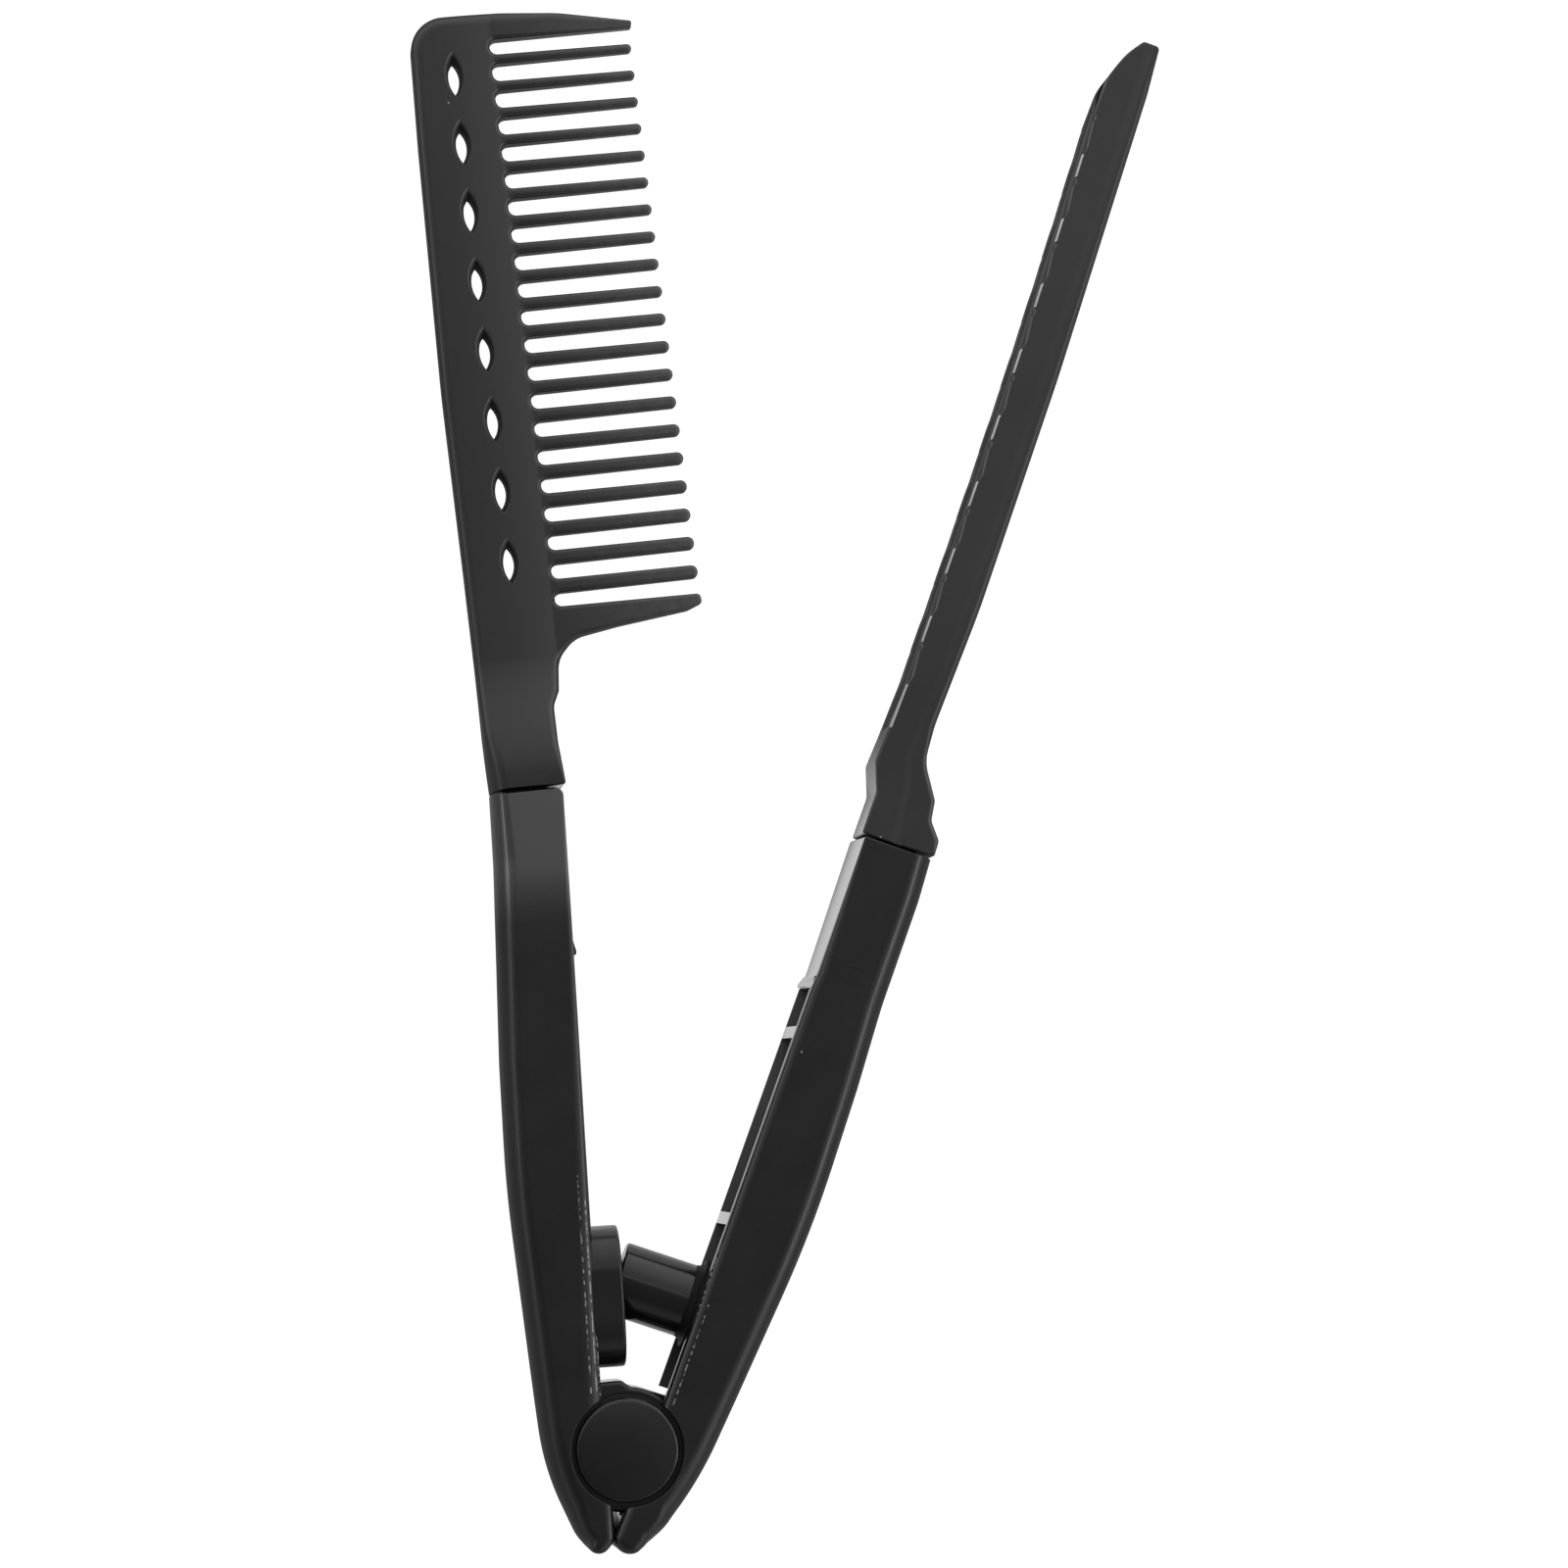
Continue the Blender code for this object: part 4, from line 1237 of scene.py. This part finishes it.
def makeCup():
    # Its own frame is square to the comb handle's inner face
    face, v = handles["combFace"], cup["at"]
    (u1, v1), (u0, v0) = face
    place = Matrix.Translation(Vector((innerFace(face, v), v, 0)) * mm)
    place = place @ Matrix.Rotation(-atan2(u0 - u1, v0 - v1), 4, "Z")
    length, depth = cup["half"]
    rings = [across(obround(length, depth), -cup["sunk"])]
    for inward, down in quarter(5):
        trim = cup["round"] * inward
        top = cup["height"] - cup["round"] * down
        rings.append(across(obround(length - trim, depth - trim), top))
    solid = addSolid("springCup", loft(rings), "comb_arm", place)
    reach = halfDepth - handles["sideWall"] - gap
    long, tab = length - cup["tabInset"], cup["tab"]
    tabs = ((-long, tab - long), (long - tab, long))
    join(solid, *[box(*cup["tabReach"], low, high, -reach, reach) for low, high in tabs])
    hole = obround(*cup["bore"])
    cut(solid, loft([across(hole, u) for u in cup["boreEnds"]]))
    dress(solid, "comb_arm", "spring_cup", [mouldedPlastic("cupBlack", cup["look"])])


def rootShadePlastic(look):
    # The post's root, darker and duller: painted shade where the post meets the handle
    values = {"Base Color": grey(look["grey"]), "Specular IOR Level": look["level"]}
    material, tree, shader = startMaterial("postRootShadeBlack", values)
    fill(tree, shader, {"Roughness": varied(tree, look["rough"], look["patches"])})
    return material


def makePost():
    wide, end, flare = post["radius"], post["flareEnd"], post["flare"]
    profile = []
    for inward, down in quarter(5):
        profile.append((wide - post["round"] * down, post["tip"] + post["round"] * inward))
    profile += [(wide + flare * inward, end - flare * down) for inward, down in quarter(8)]
    profile += [(wide + flare, end + 1), (wide, end + 1), (wide, post["root"])]
    rings = [across(circle(radius, 128), u, post["at"]) for radius, u in profile]
    solid = addSolid("springPost", loft(rings), "blade_arm")
    plastics = [mouldedPlastic("postBlack", post["look"]), rootShadePlastic(post["rootShadeLook"])]

    # The flared root takes the darker, duller plastic: painted shade
    def atRoot(face):
        return int(face.center.x > (end - flare) * mm)

    dress(solid, "blade_arm", "spring_post", plastics, atRoot)


makeCombHead()
print("comb head ready")
makeCombHandle()
makeBladeHandle()
print("handles ready")
makeHingePieces()
makeCup()
makePost()
print("hinge, cup and post ready")
makeBlade()
print("blade ready")

# Floor, lights and camera

studio = {
    # What the plastics mirror of the floor: outside the arms, and between them
    "floor": {
        "size": 6.0, "below": 0.05, "grey": 0.3, "rough": 0.9, "level": 0.2, "glow": 1.0,
        "mirrored": (0.05, 0.65), "reach": 5.5, "soft": 2.0,
        "fade": (100.0, 116.0),  # how far up from the hinge it stays bright
    },
    # The room's brightness by the angle from overhead, toward the tips where it is above 0
    "world": {
        "seen": 0.9,
        "strength": 1.25,
        "sky": (
            (-90, 0.20), (-75, 0.24), (-60, 0.28), (-42, 0.10), (-10, 0.10), (8, 0.16),
            (10.5, 0.68), (12.5, 0.68), (14.5, 0.44), (25, 0.48), (47, 0.76), (74, 0.96), (90, 1.0),
        ),
        # What is added toward the left (below 0) and the right, by the angle out of that plane
        "sides": (
            (-90, 0.02), (-76, 0.08), (-66, 0.12), (-45, 0.06), (-25, 0.0), (0, 0.0),
            (15, 0.05), (30, 0.22), (45, 0.38), (62, 0.60), (68, 0.60), (74, 0.36), (82, 0.12),
            (90, 0.06),
        ),
    },
    "lights": {
        # place in metres, size in metres, watts
        "rightSoftbox": {"place": (0.89, -0.16, 0.42), "size": (0.5, 0.12), "watts": 0.9},
        "leftSoftbox": {"place": (-0.94, 0.0, 0.3), "size": (0.5, 0.1), "watts": 0.3},
    },
    "aim": (0.0, 0.0, 0.008),
    "camera": {
        "place": (-84.639, -64.25, 858.0), "turn": (4.2254, -5.6878, 0.0),
        "lens": (121.21, 36.0),  # focal length and sensor width
        "near": 0.01,  # in metres
    },
}


def makeFloor(look):
    shape = bmesh.new()
    bmesh.ops.create_grid(shape, x_segments=1, y_segments=1, size=look["size"] / 2)
    floor = addObject("floor", meshOf("floor", shape), (0, 0, -look["below"] * mm))
    values = {
        "Base Color": grey(look["grey"]), "Roughness": look["rough"],
        "Specular IOR Level": look["level"], "Emission Color": grey(1.0),
    }
    material, tree, shader = startMaterial("paleFloor", values)
    # The plastics mirror less of it than the camera sees, and most of it between the arms
    aside, up = fromHinge(tree, placeOn(tree), mm)
    start, end = (far * mm for far in look["fade"])
    inside = addRange(tree, up, end, start)
    for body, way in (("comb_arm", 1), ("blade_arm", -1)):
        slope = tan(radians(hinge["lean"][body]))
        past = addMath(tree, "MULTIPLY_ADD", up, slope, aside)
        start, end = (-way * (look["reach"] - grow) * mm for grow in (0, look["soft"]))
        inside = addMath(tree, "MULTIPLY", addRange(tree, past, start, end), inside)
    outer, inner = look["mirrored"]
    mirrored = addMath(tree, "MULTIPLY_ADD", inside, inner - outer, outer)
    glossy = addNode(tree, "LightPath")["Is Glossy Ray"]
    glow = addRange(tree, glossy, 0, 1, look["glow"], mirrored)
    fill(tree, shader, {"Emission Strength": glow})
    floor.data.materials.append(material)


def addRamp(tree, angle, stops):
    # Greys by an angle from -90 to 90 degrees
    ramp = tree.nodes.new("ShaderNodeValToRGB")
    fill(tree, ramp, {"Fac": addMath(tree, "MULTIPLY_ADD", angle, 1 / pi, 0.5)})
    marks = ramp.color_ramp.elements
    marks.remove(marks[1])
    for i, (at, value) in enumerate(stops):
        mark = marks.new(at / 180 + 0.5) if i else marks[0]
        mark.position = at / 180 + 0.5
        mark.color = grey(value)
    return ramp.outputs["Color"]


def makeWorld(look):
    # The camera sees a pale world, and the plastics reflect a room that is bright beyond the tips
    world = bpy.data.worlds.new("studioWorld")
    scene.world = world
    world.use_nodes = True
    tree = world.node_tree
    way = addNode(tree, "SeparateXYZ", {0: placeOn(tree, "Generated")})
    sky = addRamp(tree, addMath(tree, "ARCTAN2", way["Y"], way["Z"]), look["sky"])
    sides = addRamp(tree, addMath(tree, "ARCSINE", way["X"]), look["sides"])
    room = addMath(tree, "MULTIPLY", addMath(tree, "ADD", sky, sides), look["strength"])
    seen = addNode(tree, "LightPath")["Is Camera Ray"]
    strength = addRange(tree, seen, 0, 1, room, look["seen"])
    fill(tree, tree.nodes["Background"], {"Color": grey(1.0), "Strength": strength})


def makeLight(name, look):
    data = bpy.data.lights.new(name, "AREA")
    data.shape = "RECTANGLE"
    data.size, data.size_y = look["size"]
    data.energy = look["watts"]
    light = addObject(name, data, look["place"])
    toward = Vector(studio["aim"]) - light.location
    light.rotation_euler = toward.to_track_quat("-Z", "Y").to_euler()


def makeCamera(look):
    data = bpy.data.cameras.new("camera")
    data.lens, data.sensor_width = look["lens"]
    data.clip_start = look["near"]
    camera = addObject("camera", data, Vector(look["place"]) * mm)
    camera.rotation_euler = [radians(angle) for angle in look["turn"]]
    scene.camera = camera


makeFloor(studio["floor"])
makeWorld(studio["world"])
for lightName, lightLook in studio["lights"].items():
    makeLight(lightName, lightLook)
makeCamera(studio["camera"])
scene.view_settings.view_transform = "Standard"
print("studio ready")
